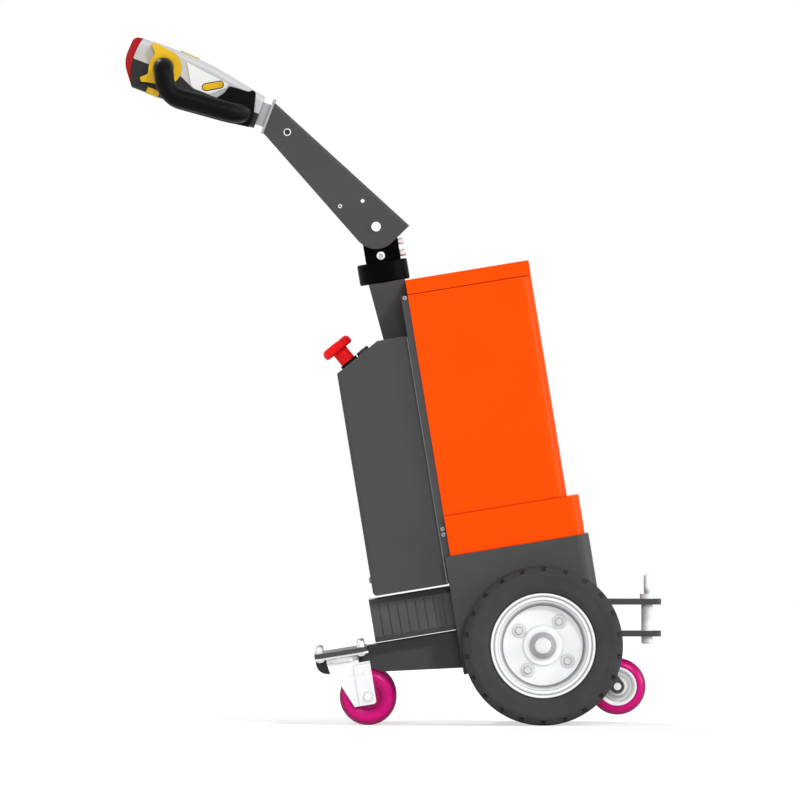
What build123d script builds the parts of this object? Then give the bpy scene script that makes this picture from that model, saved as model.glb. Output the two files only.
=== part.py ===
from build123d import *
import os
from math import cos, radians, sin

# Electric tow tractor, walked behind and steered by its tiller.
# Frame: +X towards the tow jaw, +Y to the left, +Z up, millimetres.
# The origin lies on the floor under the middle of the overall length.
# The whole body leans back about the drive axle, so most pieces are drawn in the body's own axes:
# "along" runs from the handle side to the jaw, "up" is square to it, and both start at the drive axle.

# Stance
LEAN = 9.3
TYRE_RADIUS = 140.0
AXLE_X = 262.0
RUNNING_GAP = 0.3

# Chassis: folded steel box round the transaxle, open below behind a front floor pan
CHASSIS_BACK = -144.5
CHASSIS_FRONT = 111.0
CHASSIS_BOTTOM = -28.5
CHASSIS_HEIGHT = 208.5
CHASSIS_WIDTH = 360.0
CHASSIS_CORNER = 23.0
CHASSIS_SHEET = 4.0
FLOOR_HOLE_BACK = -128.0
FLOOR_HOLE_FRONT = 52.0
FLOOR_HOLE_WIDTH = 300.0
CHASSIS_TOP = CHASSIS_BOTTOM + CHASSIS_HEIGHT

# Transaxle: gear case, motor above it, axle tubes and half shafts
GEAR_CASE_RADIUS = 56.0
GEAR_CASE_WIDTH = 90.0
MOTOR_RADIUS = 54.0
MOTOR_LENGTH = 250.0
MOTOR_UP = 104.0
AXLE_TUBE_RADIUS = 21.0
SHAFT_RADIUS = 12.5

# Drive wheels: lugged tyre on a dished steel rim
TYRE_WIDTH = 85.0
TYRE_GAP = 15.0
TYRE_SHOULDER = 14.0
TYRE_BEAD_RISE = 10.0
TREAD_CROWN = 3.0
TREAD_FLAT = 40.0
TREAD_EDGE = 10.0
RIM_RADIUS = 92.0
RIM_WIDTH = 74.0
RIM_MOUTH_RADIUS = 76.0
RIM_DISC_RADIUS = 69.0
RIM_DISC_FACE = 13.0
RIM_SHEET = 6.0
RIM_LIP = 4.0
RIM_STEP = 2.0
HUB_RADIUS = 34.7
HUB_STEP = 4.0
HUB_RING_RADIUS = 24.5
HUB_CAP_RADIUS = 15.0
HUB_CAP_EDGE = 4.0
HUB_CAP_CROWN = 2.0
LUG_COUNT = 22
LUG_NOTCH_WIDTH = 8.0
LUG_NOTCH_DEPTH = 9.0
LUG_NOTCH_REACH = 22.0

# Battery housing: skirt, upper cover, lid and the battery pack inside
HOUSING_BACK = -134.4
HOUSING_SHEET = 3.0
CHASSIS_LEDGE = 2.0
SKIRT_HEIGHT = 70.0
SKIRT_LEDGE = 6.0
SKIRT_STEP = 20.2
SKIRT_CORNER = 22.0
COVER_FRONT = 84.5
COVER_CORNER = 24.0
LID_HEIGHT = 27.0
LID_CORNER = 3.0
LID_SEAM = 1.5
BATTERY_CLEARANCE = 12.0
BATTERY_HEADROOM = 57.0
SKIRT_FRONT = COVER_FRONT + SKIRT_STEP
SKIRT_WIDTH = CHASSIS_WIDTH - 2 * CHASSIS_LEDGE
COVER_WIDTH = SKIRT_WIDTH - 2 * SKIRT_LEDGE
COVER_BOTTOM = CHASSIS_TOP + SKIRT_HEIGHT

# Mast: back plate between cover and control box, gusseted head above the box
MAST_PLATE_SHEET = 12.0
MAST_PLATE_LEDGE = 2.0
MAST_PLATE_RISE = 70.0
MAST_HEAD_HEIGHT = 100.0
MAST_HEAD_TOP_DEPTH = 64.6
MAST_HEAD_FOOT_DEPTH = 54.6
MAST_HEAD_WIDTH = 80.0
MAST_PLATE_WIDTH = COVER_WIDTH - 2 * MAST_PLATE_LEDGE
MAST_BACK = HOUSING_BACK - MAST_PLATE_SHEET

# Control box on the operator's side, with its slanted switch panel
BOX_DEPTH = 132.6
BOX_BOTTOM = 132.0
BOX_TOP = 573.0
BOX_WIDTH = 320.0
BOX_BEND = 8.0
BOX_SLANT_DROP = 45.5
BOX_SLANT_REACH = 79.0
BOX_BACK = MAST_BACK - BOX_DEPTH
MAST_HEAD_TOP = BOX_TOP + MAST_HEAD_HEIGHT
COVER_TOP = BOX_TOP + MAST_PLATE_RISE
STOP_FROM_BACK = 29.0
STOP_STEM_RADIUS = 14.0
STOP_HEAD_RADIUS = 28.5
STOP_STEM_HEIGHT = 28.0
STOP_HEAD_HEIGHT = 17.0
STOP_HEAD_EDGE = 5.0
STOP_HEAD_CROWN = 9.0
STOP_RING_RADIUS = 17.0
STOP_RING_HEIGHT = 5.0
KEY_FROM_BACK = 60.0
KEY_RADIUS = 12.0
KEY_HEIGHT = 6.0

# Charger: finned housing on the chassis back, under the control box
CHARGER_LENGTH = 144.0
CHARGER_BOTTOM = 51.0
CHARGER_TOP = 126.7
CHARGER_WIDTH = 250.0
CHARGER_EDGE = 9.5
FIN_PITCH = 16.0
FIN_SLOT = 2.0
FIN_DEPTH = 3.0
CHARGER_BACK = CHASSIS_BACK - CHARGER_LENGTH

# Caster frame: channel stem from the chassis back, cross plate over the two casters
FRAME_TOP = 48.0
FRAME_REACH = 253.5
CROSS_PLATE_LENGTH = 93.0
CROSS_PLATE_WIDTH = 470.0
CROSS_PLATE_SHEET = 8.0
CROSS_PLATE_CORNER = 10.0
STEM_WIDTH = 160.0
STEM_SHEET = 4.0
STEM_BACK_DEPTH = 36.5
STEM_FRONT_DEPTH = 65.6
STEM_BACK_CORNER = 20.0
FRAME_BACK = CHASSIS_BACK - FRAME_REACH
CROSS_PLATE_FRONT = FRAME_BACK + CROSS_PLATE_LENGTH

# Casters: swivel plate and king pin, race, stamped fork, axle and wheel
CASTER_FROM_BACK = 47.5
CASTER_FROM_END = 45.0
CASTER_RADIUS = 50.0
CASTER_TRAIL = 34.0
CASTER_PLATE_LENGTH = 94.0
CASTER_PLATE_WIDTH = 86.0
CASTER_PLATE_SHEET = 3.5
CASTER_RACE_RADIUS = 28.0
CASTER_RACE_HEIGHT = 9.0
CASTER_CROWN = 9.0
KING_PIN_RADIUS = 6.0
FORK_INSIDE = 39.0
FORK_SHEET = 3.5
FORK_NECK = 25.0
FORK_NECK_DROP = 29.0
FORK_KNEE = 9.0
FORK_KNEE_DROP = 54.0
FORK_TOE = 8.0
FORK_HEEL = 47.0
FORK_SHOULDER = 5.0
FORK_FOOT = 14.0
FORK_CORNER = 6.0
FORK_PAD = 1.5
FORK_PAD_BACK = 17.0
CASTER_TREAD_WIDTH = 32.0
CASTER_FACE_RADIUS = 32.0
CASTER_WEB_DEPTH = 3.0
CASTER_WEB_RADIUS = 24.0
CASTER_BOSS_RADIUS = 20.0
CASTER_BOSS_WIDTH = 36.0
CASTER_AXLE_RADIUS = 6.0
CASTER_NUT_RADIUS = 8.0
CASTER_NUT_HEIGHT = 6.0
CASTER_ALONG = FRAME_BACK + CASTER_FROM_BACK
CASTER_ACROSS = CROSS_PLATE_WIDTH / 2 - CASTER_FROM_END

# Crown of the cast treads: (inwards from the tread's face, drop below the rolling radius)
TREAD_STEPS = ((1.5, 9.0), (6.0, 2.5), (12.0, 0.0))

# Front anti-tip wheel under the jaw, in a two-armed lug fork
TIP_ALONG = 118.6
TIP_UP = -94.8
TIP_RADIUS = 50.0
TIP_WIDTH = 36.0
TIP_HUB_RADIUS = 34.0
TIP_AXLE_RADIUS = 6.5
TIP_AXLE_END = 3.0
TIP_BOSS_RADIUS = 17.0
TIP_BOSS_RISE = 3.0
TIP_WEB_DEPTH = 6.0
TIP_WEB_INNER = 20.0
TIP_WEB_OUTER = 27.0
TIP_RIM_INNER = 30.0
TIP_RIM_DEPTH = 1.0
LUG_ARM_ROUND = 12.0
LUG_ARM_SHEET = 8.0
LUG_ARM_GAP = 46.0
LUG_BASE_BACK = 50.0
LUG_BASE_FRONT = 97.0
LUG_BASE_SHEET = 6.0

# Tow jaw: two level plates on a back plate, drop pin with a pull ring
JAW_REACH = 209.0
JAW_WIDTH = 100.0
JAW_SHEET = 10.0
JAW_LOWER_Z = 153.7
JAW_UPPER_Z = 209.8
JAW_CORNER = 9.0
JAW_BACK_SHEET = 8.0
PIN_REACH = 184.6
PIN_RADIUS = 10.0
PIN_FOOT_Z = 140.4
PIN_TIP = 2.0
PIN_COLLAR_RADIUS = 12.5
PIN_COLLAR_HEIGHT = 8.5
PIN_CLEARANCE = 0.4
PULL_RING_BAR = 5.5
PULL_RING_HEIGHT = 36.0
PULL_RING_WIDTH = 44.0
PULL_RING_BEND = 8.0

# Tiller: swivel collar on the mast, bracket, pivot and channel arm
COLLAR_RADIUS = 44.3
COLLAR_HEIGHT = 36.5
COLLAR_EDGE = 2.0
SPINDLE_RADIUS = 15.0
SPINDLE_LENGTH = 25.0
PIVOT_BEHIND_COVER = 35.3
PIVOT_RISE = 62.5
PIVOT_RADIUS = 8.5
PIVOT_END = 3.0
BRACKET_BACK = -28.0
BRACKET_FRONT = 34.0
BRACKET_WIDTH = 50.0
BRACKET_ROUND = 28.0
ARM_DROP = 45.5
ARM_LENGTH = 273.0
ARM_SHEET = 4.0
ARM_SIDE_GAP = 1.0
ARM_TAIL = 39.5
ARM_TOP_AT_PIVOT = 41.0
ARM_TOP_AT_HEAD = 26.3
ARM_FOOT_AT_PIVOT = 40.0
ARM_FOOT_AT_HEAD = 25.0
ARM_BEND = 5.0
CABLE_HOLE_FROM_HEAD = 45.0
CABLE_HOLE_UP = 5.0
CABLE_HOLE_RADIUS = 5.9
STOP_HOLE_FROM_PIVOT = 49.0
STOP_HOLE_UP = 15.0
STOP_HOLE_RADIUS = 3.5
PIVOT_ALONG = HOUSING_BACK - PIVOT_BEHIND_COVER
PIVOT_UP = MAST_HEAD_TOP + COLLAR_HEIGHT + PIVOT_RISE

# Tiller head, drawn from the flange: "back" runs towards the arm, the head lies in front of it
HEAD_DROP = 20.9
FLANGE_SHEET = 5.0
FLANGE_HEIGHT = 64.0
FLANGE_WIDTH = 62.0
NECK_LENGTH = 15.0
NECK_HEIGHT = 41.0
NECK_WIDTH = 52.0
HEAD_FRONT = 252.0
HEAD_FRONT_BULGE = 4.0
HEAD_FRONT_BULGE_UP = 12.0
HEAD_TOP_FRONT = 49.5
CREST_AHEAD = 70.0
HEAD_CREST_UP = 51.5
HEAD_BROW = 110.0
HEAD_BROW_UP = 47.0
HEAD_TOP_BACK = 30.0
HEAD_CHIN = 241.0
HEAD_CHEEK = 150.0
HEAD_FOOT_FRONT = -37.5
HEAD_FOOT_BACK = -28.0
HEAD_EDGE = 12.0
HEAD_WIDTH = 88.0
SEAM_FRONT = 10.5
SEAM_BACK = -2.0
SEAM_BEND_FRONT = 166.0
SEAM_BEND_BACK = 138.0
SEAM_ROUND = 22.0
BELLY_REACH = 18.5
BELLY_TOP_REACH = 16.5
BELLY_TOP_DROP = 2.5
BELLY_TOP_ROUND = 12.0
BELLY_NOSE_ROUND = 50.0
BELLY_WIDTH = 76.0
BELLY_CORNER = 16.0
BELLY_DEPTH = 40.0
PANEL_RISE = 1.2
PANEL_ROUND = 3.0
PANEL_SWEEP = 13.0
BEZEL = 1.5
HEAD_TIP = HEAD_FRONT + BELLY_REACH
HEAD_CREST = HEAD_BROW + CREST_AHEAD

# Outline of the raised panel on the head's flank, its two foot corners swept: (ahead of the flange, up)
PANEL = ((84, 20), (84, 28), (166, 38), (142, -1), (108, -1))

# Loop grips: moulded root on the head's flank, then a bar out, forward and back in at the thumb lever
GRIP_RADIUS = 17.0
GRIP_ACROSS = 118.0
GRIP_ROOT_DEPTH = 20.0
GRIP_ROOT_ROUND = 4.0
GRIP_START = 40.0
GRIP_START_UP = -10.0
GRIP_ELBOW = 52.0
GRIP_ELBOW_UP = -17.0
GRIP_ELBOW_BEND = 34.0
GRIP_KNUCKLE = 178.0
GRIP_KNUCKLE_UP = -29.0
GRIP_KNUCKLE_BEND = 36.0
GRIP_FRONT_BEND = 20.0

# Outline of the grip's root on the flank: (ahead of the flange, up)
GRIP_ROOT = ((85, 10), (80, 25), (45, 28), (40, 33), (33, 31), (22, -10), (22, -29), (70, -36), (104, -16))

# Thumb levers and push buttons
LEVER_FRONT = 200.0
LEVER_UP = 14.0
LEVER_OUTER = 32.0
LEVER_CLEARANCE = 0.5
LEVER_WIDTH = 24.0
LEVER_GAP = 4.0

# Ear, limb and foot of a thumb lever's front half, from the bar's centre: (ahead, up)
LEVER_EAR = ((0, 32), (26, 35), (36, 32), (23, 18), (27, 0), (22, -20), (33, -31), (29, -37), (3, -31), (9, -10), (0, 0))
BUTTON_AHEAD = 108.0
BUTTON_UP = 15.0
BUTTON_TURN = 31.0
BUTTON_LENGTH = 36.0
BUTTON_WIDTH = 11.0
BUTTON_RISE = 3.0
BAR_AHEAD = 202.5
BAR_LENGTH = 23.0
BAR_TOP = -27.0
BAR_RISE = 1.5
BAR_EDGE = 10.0
BAR_CLEARANCE = 0.2

lean = radians(LEAN)
ALONG = Vector(cos(lean), 0, sin(lean))
UP = Vector(-sin(lean), 0, cos(lean))
LEFT = Vector(0, 1, 0)
AXLE = Vector(AXLE_X, 0, TYRE_RADIUS)
SIDES = (("left", 1), ("right", -1))

os.makedirs("parts", exist_ok=True)


def keep(piece, name):
    """Label a finished piece and write it."""
    piece.part.label = name
    export_step(piece.part, f"parts/{name}.step")


def body_point(along, up, across=0.0):
    """Point given in the leaning body's axes."""
    return AXLE + ALONG * along + UP * up + LEFT * across


def side_plane(across=0.0, along=0.0, up=0.0):
    """Upright lengthwise plane of the leaning body, facing right: x runs along, y runs up."""
    return Plane(body_point(along, up, across), x_dir=ALONG, z_dir=-LEFT)


def level_plane(up, along=0.0, across=0.0):
    """Plane square to the body's up direction: x runs along, y runs to the left."""
    return Plane(body_point(along, up, across), x_dir=ALONG, z_dir=UP)


def box_plan(back, front, width, corner):
    """Plan of a folded box: square at its back, rounded at its two front corners."""
    with BuildSketch() as plan:
        with Locations(((back + front) / 2, 0)):
            Rectangle(front - back, width)
        fillet(plan.vertices().group_by(Axis.X)[-1], corner)
    return plan.sketch


def wheel_section(centre, outward):
    """Half section of a wheel: x runs outwards along its axle, y is the radius."""
    return Plane(centre, x_dir=LEFT * outward, z_dir=(outward, 0, 0))


def both_halves(half_profile):
    """Closed wheel profile from the points of its outer half, mirrored about the wheel's middle."""
    return [*half_profile, *[(-across, radius) for across, radius in reversed(half_profile)]]


# Chassis shell: deck on top, rounded front corners, axle holes in both walls
with BuildPart() as chassis_shell:
    with BuildSketch(level_plane(CHASSIS_BOTTOM)):
        add(box_plan(CHASSIS_BACK, CHASSIS_FRONT, CHASSIS_WIDTH, CHASSIS_CORNER))
    extrude(amount=CHASSIS_HEIGHT)
    with BuildSketch(level_plane(CHASSIS_BOTTOM + CHASSIS_SHEET)):
        add(
            box_plan(
                CHASSIS_BACK + CHASSIS_SHEET,
                CHASSIS_FRONT - CHASSIS_SHEET,
                CHASSIS_WIDTH - 2 * CHASSIS_SHEET,
                CHASSIS_CORNER - CHASSIS_SHEET,
            )
        )
    extrude(amount=CHASSIS_HEIGHT - 2 * CHASSIS_SHEET, mode=Mode.SUBTRACT)
    with BuildSketch(level_plane(CHASSIS_BOTTOM)):
        with Locations(((FLOOR_HOLE_BACK + FLOOR_HOLE_FRONT) / 2, 0)):
            Rectangle(FLOOR_HOLE_FRONT - FLOOR_HOLE_BACK, FLOOR_HOLE_WIDTH)
    extrude(amount=CHASSIS_SHEET, mode=Mode.SUBTRACT)
    with BuildSketch(side_plane()):
        Circle(AXLE_TUBE_RADIUS)
    extrude(amount=CHASSIS_WIDTH, both=True, mode=Mode.SUBTRACT)
keep(chassis_shell, "chassis_shell")

# Transaxle: the motor lies across the body over the gear case
wheel_inside = CHASSIS_WIDTH / 2 + TYRE_GAP
wheel_across = wheel_inside + TYRE_WIDTH / 2
shaft_end = wheel_across + RIM_DISC_FACE
with BuildPart() as transaxle:
    with BuildSketch(side_plane()):
        Circle(GEAR_CASE_RADIUS)
        with Locations((0, MOTOR_UP)):
            Circle(MOTOR_RADIUS)
        make_hull()
    extrude(amount=GEAR_CASE_WIDTH / 2, both=True)
    with BuildSketch(side_plane()):
        with Locations((0, MOTOR_UP)):
            Circle(MOTOR_RADIUS - CHASSIS_SHEET)
    extrude(amount=MOTOR_LENGTH / 2, both=True)
    with BuildSketch(side_plane()):
        Circle(AXLE_TUBE_RADIUS)
    extrude(amount=wheel_inside, both=True)
    with BuildSketch(side_plane()):
        Circle(SHAFT_RADIUS)
    extrude(amount=shaft_end, both=True)
keep(transaxle, "transaxle")

# Drive wheels: one lugged tyre and one dished rim with its hub and cap on each side
for side, outward in SIDES:
    centre = AXLE + LEFT * outward * wheel_across
    spin_axis = Axis(centre, LEFT)
    half = TYRE_WIDTH / 2
    bead = RIM_WIDTH / 2
    with BuildPart() as tyre:
        with BuildSketch(wheel_section(centre, outward)):
            Polygon(
                *both_halves(
                    (
                        (bead - RIM_LIP, RIM_RADIUS - RIM_STEP),
                        (bead - RIM_LIP, RIM_RADIUS),
                        (half, RIM_RADIUS + TYRE_BEAD_RISE),
                        (half, TYRE_RADIUS - TYRE_SHOULDER),
                        (half - TREAD_EDGE, TYRE_RADIUS - TREAD_CROWN),
                        (TREAD_FLAT / 2, TYRE_RADIUS),
                    )
                ),
                align=None,
            )
        revolve(axis=spin_axis)
        for face in (1, -1):
            shoulder = Plane(centre + LEFT * face * half, x_dir=(1, 0, 0), z_dir=-LEFT * face)
            with BuildSketch(shoulder):
                with PolarLocations(TYRE_RADIUS, LUG_COUNT):
                    Rectangle(2 * LUG_NOTCH_DEPTH, LUG_NOTCH_WIDTH)
            extrude(amount=LUG_NOTCH_REACH, mode=Mode.SUBTRACT)
    keep(tyre, f"drive_tyre_{side}")

    bore = SHAFT_RADIUS + RUNNING_GAP
    with BuildPart() as rim:
        with BuildSketch(wheel_section(centre, outward)):
            with BuildLine():
                Polyline(
                    (-bead, RIM_RADIUS),
                    (-bead, RIM_RADIUS - RIM_SHEET),
                    (RIM_DISC_FACE - RIM_SHEET, RIM_DISC_RADIUS + RIM_SHEET),
                    (RIM_DISC_FACE - RIM_SHEET, HUB_RADIUS),
                    (-half, HUB_RADIUS),
                    (-half, bore),
                    (RIM_DISC_FACE + RUNNING_GAP, bore),
                    (RIM_DISC_FACE + RUNNING_GAP, 0),
                    (bead + HUB_CAP_CROWN, 0),
                    (bead, HUB_CAP_RADIUS - HUB_CAP_EDGE),
                    (bead - HUB_CAP_EDGE, HUB_CAP_RADIUS),
                    (RIM_DISC_FACE + 2 * HUB_STEP, HUB_CAP_RADIUS),
                    (RIM_DISC_FACE + 2 * HUB_STEP, HUB_RING_RADIUS),
                    (RIM_DISC_FACE + HUB_STEP, HUB_RING_RADIUS),
                    (RIM_DISC_FACE + HUB_STEP, HUB_RADIUS),
                    (RIM_DISC_FACE, HUB_RADIUS),
                    (RIM_DISC_FACE, RIM_DISC_RADIUS),
                    (bead - RIM_LIP, RIM_MOUTH_RADIUS),
                    (bead, RIM_RADIUS - RIM_SHEET),
                    (bead, RIM_RADIUS),
                    (bead - RIM_LIP, RIM_RADIUS),
                    (bead - RIM_LIP, RIM_RADIUS - RIM_STEP),
                    (-bead + RIM_LIP, RIM_RADIUS - RIM_STEP),
                    (-bead + RIM_LIP, RIM_RADIUS),
                    close=True,
                )
            make_face()
        revolve(axis=spin_axis)
    keep(rim, f"drive_rim_{side}")

# Battery housing: skirt with a ledge, tall cover, capped lid, and the pack standing on the deck
with BuildPart() as battery_skirt:
    with BuildSketch(level_plane(CHASSIS_TOP)):
        add(box_plan(HOUSING_BACK, SKIRT_FRONT, SKIRT_WIDTH, SKIRT_CORNER))
    extrude(amount=COVER_BOTTOM - CHASSIS_TOP)
    with BuildSketch(level_plane(CHASSIS_TOP)):
        add(
            box_plan(
                HOUSING_BACK + HOUSING_SHEET,
                SKIRT_FRONT - HOUSING_SHEET,
                SKIRT_WIDTH - 2 * HOUSING_SHEET,
                SKIRT_CORNER - HOUSING_SHEET,
            )
        )
    extrude(amount=COVER_BOTTOM - CHASSIS_TOP - HOUSING_SHEET, mode=Mode.SUBTRACT)
    with BuildSketch(level_plane(CHASSIS_TOP)):
        add(
            box_plan(
                HOUSING_BACK + HOUSING_SHEET,
                COVER_FRONT - HOUSING_SHEET,
                COVER_WIDTH - 2 * HOUSING_SHEET,
                COVER_CORNER - HOUSING_SHEET,
            )
        )
    extrude(amount=COVER_BOTTOM - CHASSIS_TOP, mode=Mode.SUBTRACT)
keep(battery_skirt, "battery_skirt")

with BuildPart() as battery_cover:
    with BuildSketch(level_plane(COVER_BOTTOM)):
        add(box_plan(HOUSING_BACK, COVER_FRONT, COVER_WIDTH, COVER_CORNER))
        add(
            box_plan(
                HOUSING_BACK + HOUSING_SHEET,
                COVER_FRONT - HOUSING_SHEET,
                COVER_WIDTH - 2 * HOUSING_SHEET,
                COVER_CORNER - HOUSING_SHEET,
            ),
            mode=Mode.SUBTRACT,
        )
    extrude(amount=COVER_TOP - COVER_BOTTOM)
keep(battery_cover, "battery_cover")

with BuildPart() as battery_lid:
    with BuildSketch(level_plane(COVER_TOP)):
        add(
            box_plan(
                HOUSING_BACK + LID_SEAM,
                COVER_FRONT - LID_SEAM,
                COVER_WIDTH - 2 * LID_SEAM,
                LID_CORNER,
            )
        )
    extrude(amount=LID_SEAM)
    with BuildSketch(level_plane(COVER_TOP + LID_SEAM)):
        add(box_plan(HOUSING_BACK, COVER_FRONT, COVER_WIDTH, LID_CORNER))
    extrude(amount=LID_HEIGHT - LID_SEAM)
    with BuildSketch(level_plane(COVER_TOP)):
        add(
            box_plan(
                HOUSING_BACK + HOUSING_SHEET,
                COVER_FRONT - HOUSING_SHEET,
                COVER_WIDTH - 2 * HOUSING_SHEET,
                LID_CORNER,
            )
        )
    extrude(amount=LID_HEIGHT - HOUSING_SHEET, mode=Mode.SUBTRACT)
keep(battery_lid, "battery_lid")

pack_back = HOUSING_BACK + HOUSING_SHEET + BATTERY_CLEARANCE
pack_front = COVER_FRONT - HOUSING_SHEET - BATTERY_CLEARANCE
with BuildPart() as battery_pack:
    with BuildSketch(level_plane(CHASSIS_TOP)):
        with Locations(((pack_back + pack_front) / 2, 0)):
            Rectangle(pack_front - pack_back, COVER_WIDTH - 2 * HOUSING_SHEET - 2 * BATTERY_CLEARANCE)
    extrude(amount=COVER_TOP + LID_HEIGHT - HOUSING_SHEET - BATTERY_HEADROOM - CHASSIS_TOP)
keep(battery_pack, "battery_pack")

# Mast: back plate on the chassis deck, gusset box above the control box, level on top for the collar
with BuildPart() as mast:
    with BuildSketch(level_plane(CHASSIS_TOP)):
        with Locations(((MAST_BACK + HOUSING_BACK) / 2, 0)):
            Rectangle(HOUSING_BACK - MAST_BACK, MAST_PLATE_WIDTH)
    extrude(amount=COVER_TOP - CHASSIS_TOP)
    with BuildSketch(side_plane()):
        Polygon(
            (HOUSING_BACK, BOX_TOP),
            (HOUSING_BACK, MAST_HEAD_TOP),
            (HOUSING_BACK - MAST_HEAD_TOP_DEPTH, MAST_HEAD_TOP),
            (HOUSING_BACK - MAST_HEAD_FOOT_DEPTH, BOX_TOP),
            align=None,
        )
    extrude(amount=MAST_HEAD_WIDTH / 2, both=True)
keep(mast, "mast")

# Switch panel: plane on the slant, x climbing it from the box's back edge
SLANT = (ALONG * BOX_SLANT_REACH + UP * BOX_SLANT_DROP).normalized()
panel_plane = Plane(body_point(BOX_BACK, BOX_TOP - BOX_SLANT_DROP), x_dir=SLANT, z_dir=SLANT.cross(LEFT))

# Control box: folded cover with bent back corners, cut off by the slanted panel
with BuildPart() as control_box:
    with BuildSketch(level_plane(BOX_BOTTOM)):
        with Locations(((BOX_BACK + MAST_BACK) / 2, 0)):
            Rectangle(MAST_BACK - BOX_BACK, BOX_WIDTH)
    extrude(amount=BOX_TOP - BOX_BOTTOM)
    back_face = control_box.faces().sort_by(Axis((0, 0, 0), ALONG))[0]
    fillet(back_face.edges().sort_by(Axis((0, 0, 0), UP))[:-1], BOX_BEND)
    split(bisect_by=panel_plane, keep=Keep.BOTTOM)
keep(control_box, "control_box")

with BuildPart() as stop_base:
    with BuildSketch(panel_plane):
        with Locations((STOP_FROM_BACK, 0)):
            Circle(STOP_RING_RADIUS)
    extrude(amount=STOP_RING_HEIGHT)
keep(stop_base, "emergency_stop_base")

with BuildPart() as stop_knob:
    with BuildSketch(panel_plane.offset(STOP_STEM_HEIGHT)):
        with Locations((STOP_FROM_BACK, 0)):
            Circle(STOP_HEAD_RADIUS)
    extrude(amount=STOP_HEAD_HEIGHT)
    head_faces = stop_knob.faces().sort_by(Axis((0, 0, 0), panel_plane.z_dir))
    fillet(head_faces[0].edges(), STOP_HEAD_EDGE)
    fillet(head_faces[-1].edges(), STOP_HEAD_CROWN)
    with BuildSketch(panel_plane.offset(STOP_RING_HEIGHT)):
        with Locations((STOP_FROM_BACK, 0)):
            Circle(STOP_STEM_RADIUS)
    extrude(amount=STOP_STEM_HEIGHT - STOP_RING_HEIGHT)
keep(stop_knob, "emergency_stop_knob")

with BuildPart() as key_switch:
    with BuildSketch(panel_plane):
        with Locations((KEY_FROM_BACK, 0)):
            Circle(KEY_RADIUS)
    extrude(amount=KEY_HEIGHT)
keep(key_switch, "key_switch")

# Charger: chamfered block with upright slots between its fins, on both flanks
with BuildPart() as charger:
    with BuildSketch(Plane(body_point(CHARGER_BACK, 0), x_dir=LEFT, z_dir=ALONG)) as charger_end:
        with Locations((0, (CHARGER_BOTTOM + CHARGER_TOP) / 2)):
            Rectangle(CHARGER_WIDTH, CHARGER_TOP - CHARGER_BOTTOM)
        chamfer(charger_end.vertices(), CHARGER_EDGE)
    extrude(amount=CHASSIS_BACK - CHARGER_BACK)
    fin_count = int((CHASSIS_BACK - CHARGER_BACK - FIN_SLOT) // FIN_PITCH)
    for flank in (1, -1):
        with BuildSketch(level_plane(CHARGER_BOTTOM + CHARGER_EDGE)):
            for fin in range(1, fin_count + 1):
                with Locations((CHARGER_BACK + fin * FIN_PITCH, flank * CHARGER_WIDTH / 2)):
                    Rectangle(FIN_SLOT, 2 * FIN_DEPTH)
        extrude(amount=CHARGER_TOP - CHARGER_BOTTOM - 2 * CHARGER_EDGE, mode=Mode.SUBTRACT)
keep(charger, "charger")

# Caster frame: open channel stem welded to the chassis back, cross plate over both casters
with BuildPart() as caster_frame:
    stem_outline = (
        (FRAME_BACK, FRAME_TOP),
        (FRAME_BACK, FRAME_TOP - STEM_BACK_DEPTH),
        (CHASSIS_BACK, FRAME_TOP - STEM_FRONT_DEPTH),
        (CHASSIS_BACK, FRAME_TOP),
    )
    with BuildSketch(side_plane()) as stem_side:
        Polygon(*stem_outline, align=None)
        fillet(stem_side.vertices().group_by(Axis.X)[0].sort_by(Axis.Y)[0], STEM_BACK_CORNER)
    extrude(amount=STEM_WIDTH / 2, both=True)
    with BuildSketch(side_plane()):
        with Locations(((FRAME_BACK + CHASSIS_BACK) / 2, FRAME_TOP - STEM_SHEET - STEM_FRONT_DEPTH / 2)):
            Rectangle(CHASSIS_BACK - FRAME_BACK, STEM_FRONT_DEPTH)
    extrude(amount=STEM_WIDTH / 2 - STEM_SHEET, both=True, mode=Mode.SUBTRACT)
    with BuildSketch(level_plane(FRAME_TOP)):
        with Locations(((FRAME_BACK + CROSS_PLATE_FRONT) / 2, 0)):
            RectangleRounded(CROSS_PLATE_LENGTH, CROSS_PLATE_WIDTH, CROSS_PLATE_CORNER)
    extrude(amount=-CROSS_PLATE_SHEET)
keep(caster_frame, "caster_frame")

# Casters: the fork is as long as brings its wheel to the floor
caster_seat = FRAME_TOP - CROSS_PLATE_SHEET
wheel_rise = TYRE_RADIUS - CASTER_RADIUS + (CASTER_ALONG + CASTER_TRAIL) * sin(lean)
caster_drop = caster_seat + wheel_rise / cos(lean)
race_top = -CASTER_PLATE_SHEET - RUNNING_GAP
crown_top = race_top - CASTER_RACE_HEIGHT
crown_foot = crown_top - CASTER_CROWN
leg_foot = -caster_drop - FORK_FOOT
fork_width = FORK_INSIDE + 2 * FORK_SHEET


def fork_outline():
    """Side outline of a caster fork, from the middle of its seat."""
    with BuildSketch() as outline:
        Polygon(
            (-CASTER_RACE_RADIUS, crown_top),
            (-FORK_NECK, -FORK_NECK_DROP),
            (-FORK_KNEE, -FORK_KNEE_DROP),
            (FORK_TOE, leg_foot),
            (FORK_HEEL, leg_foot),
            (FORK_HEEL, crown_top - FORK_SHOULDER),
            (CASTER_RACE_RADIUS, crown_top - FORK_SHOULDER),
            (CASTER_RACE_RADIUS, crown_top),
            align=None,
        )
        fillet(outline.vertices().group_by(Axis.Y)[0].sort_by(Axis.X)[-1], FORK_CORNER)
    return outline.sketch


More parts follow.
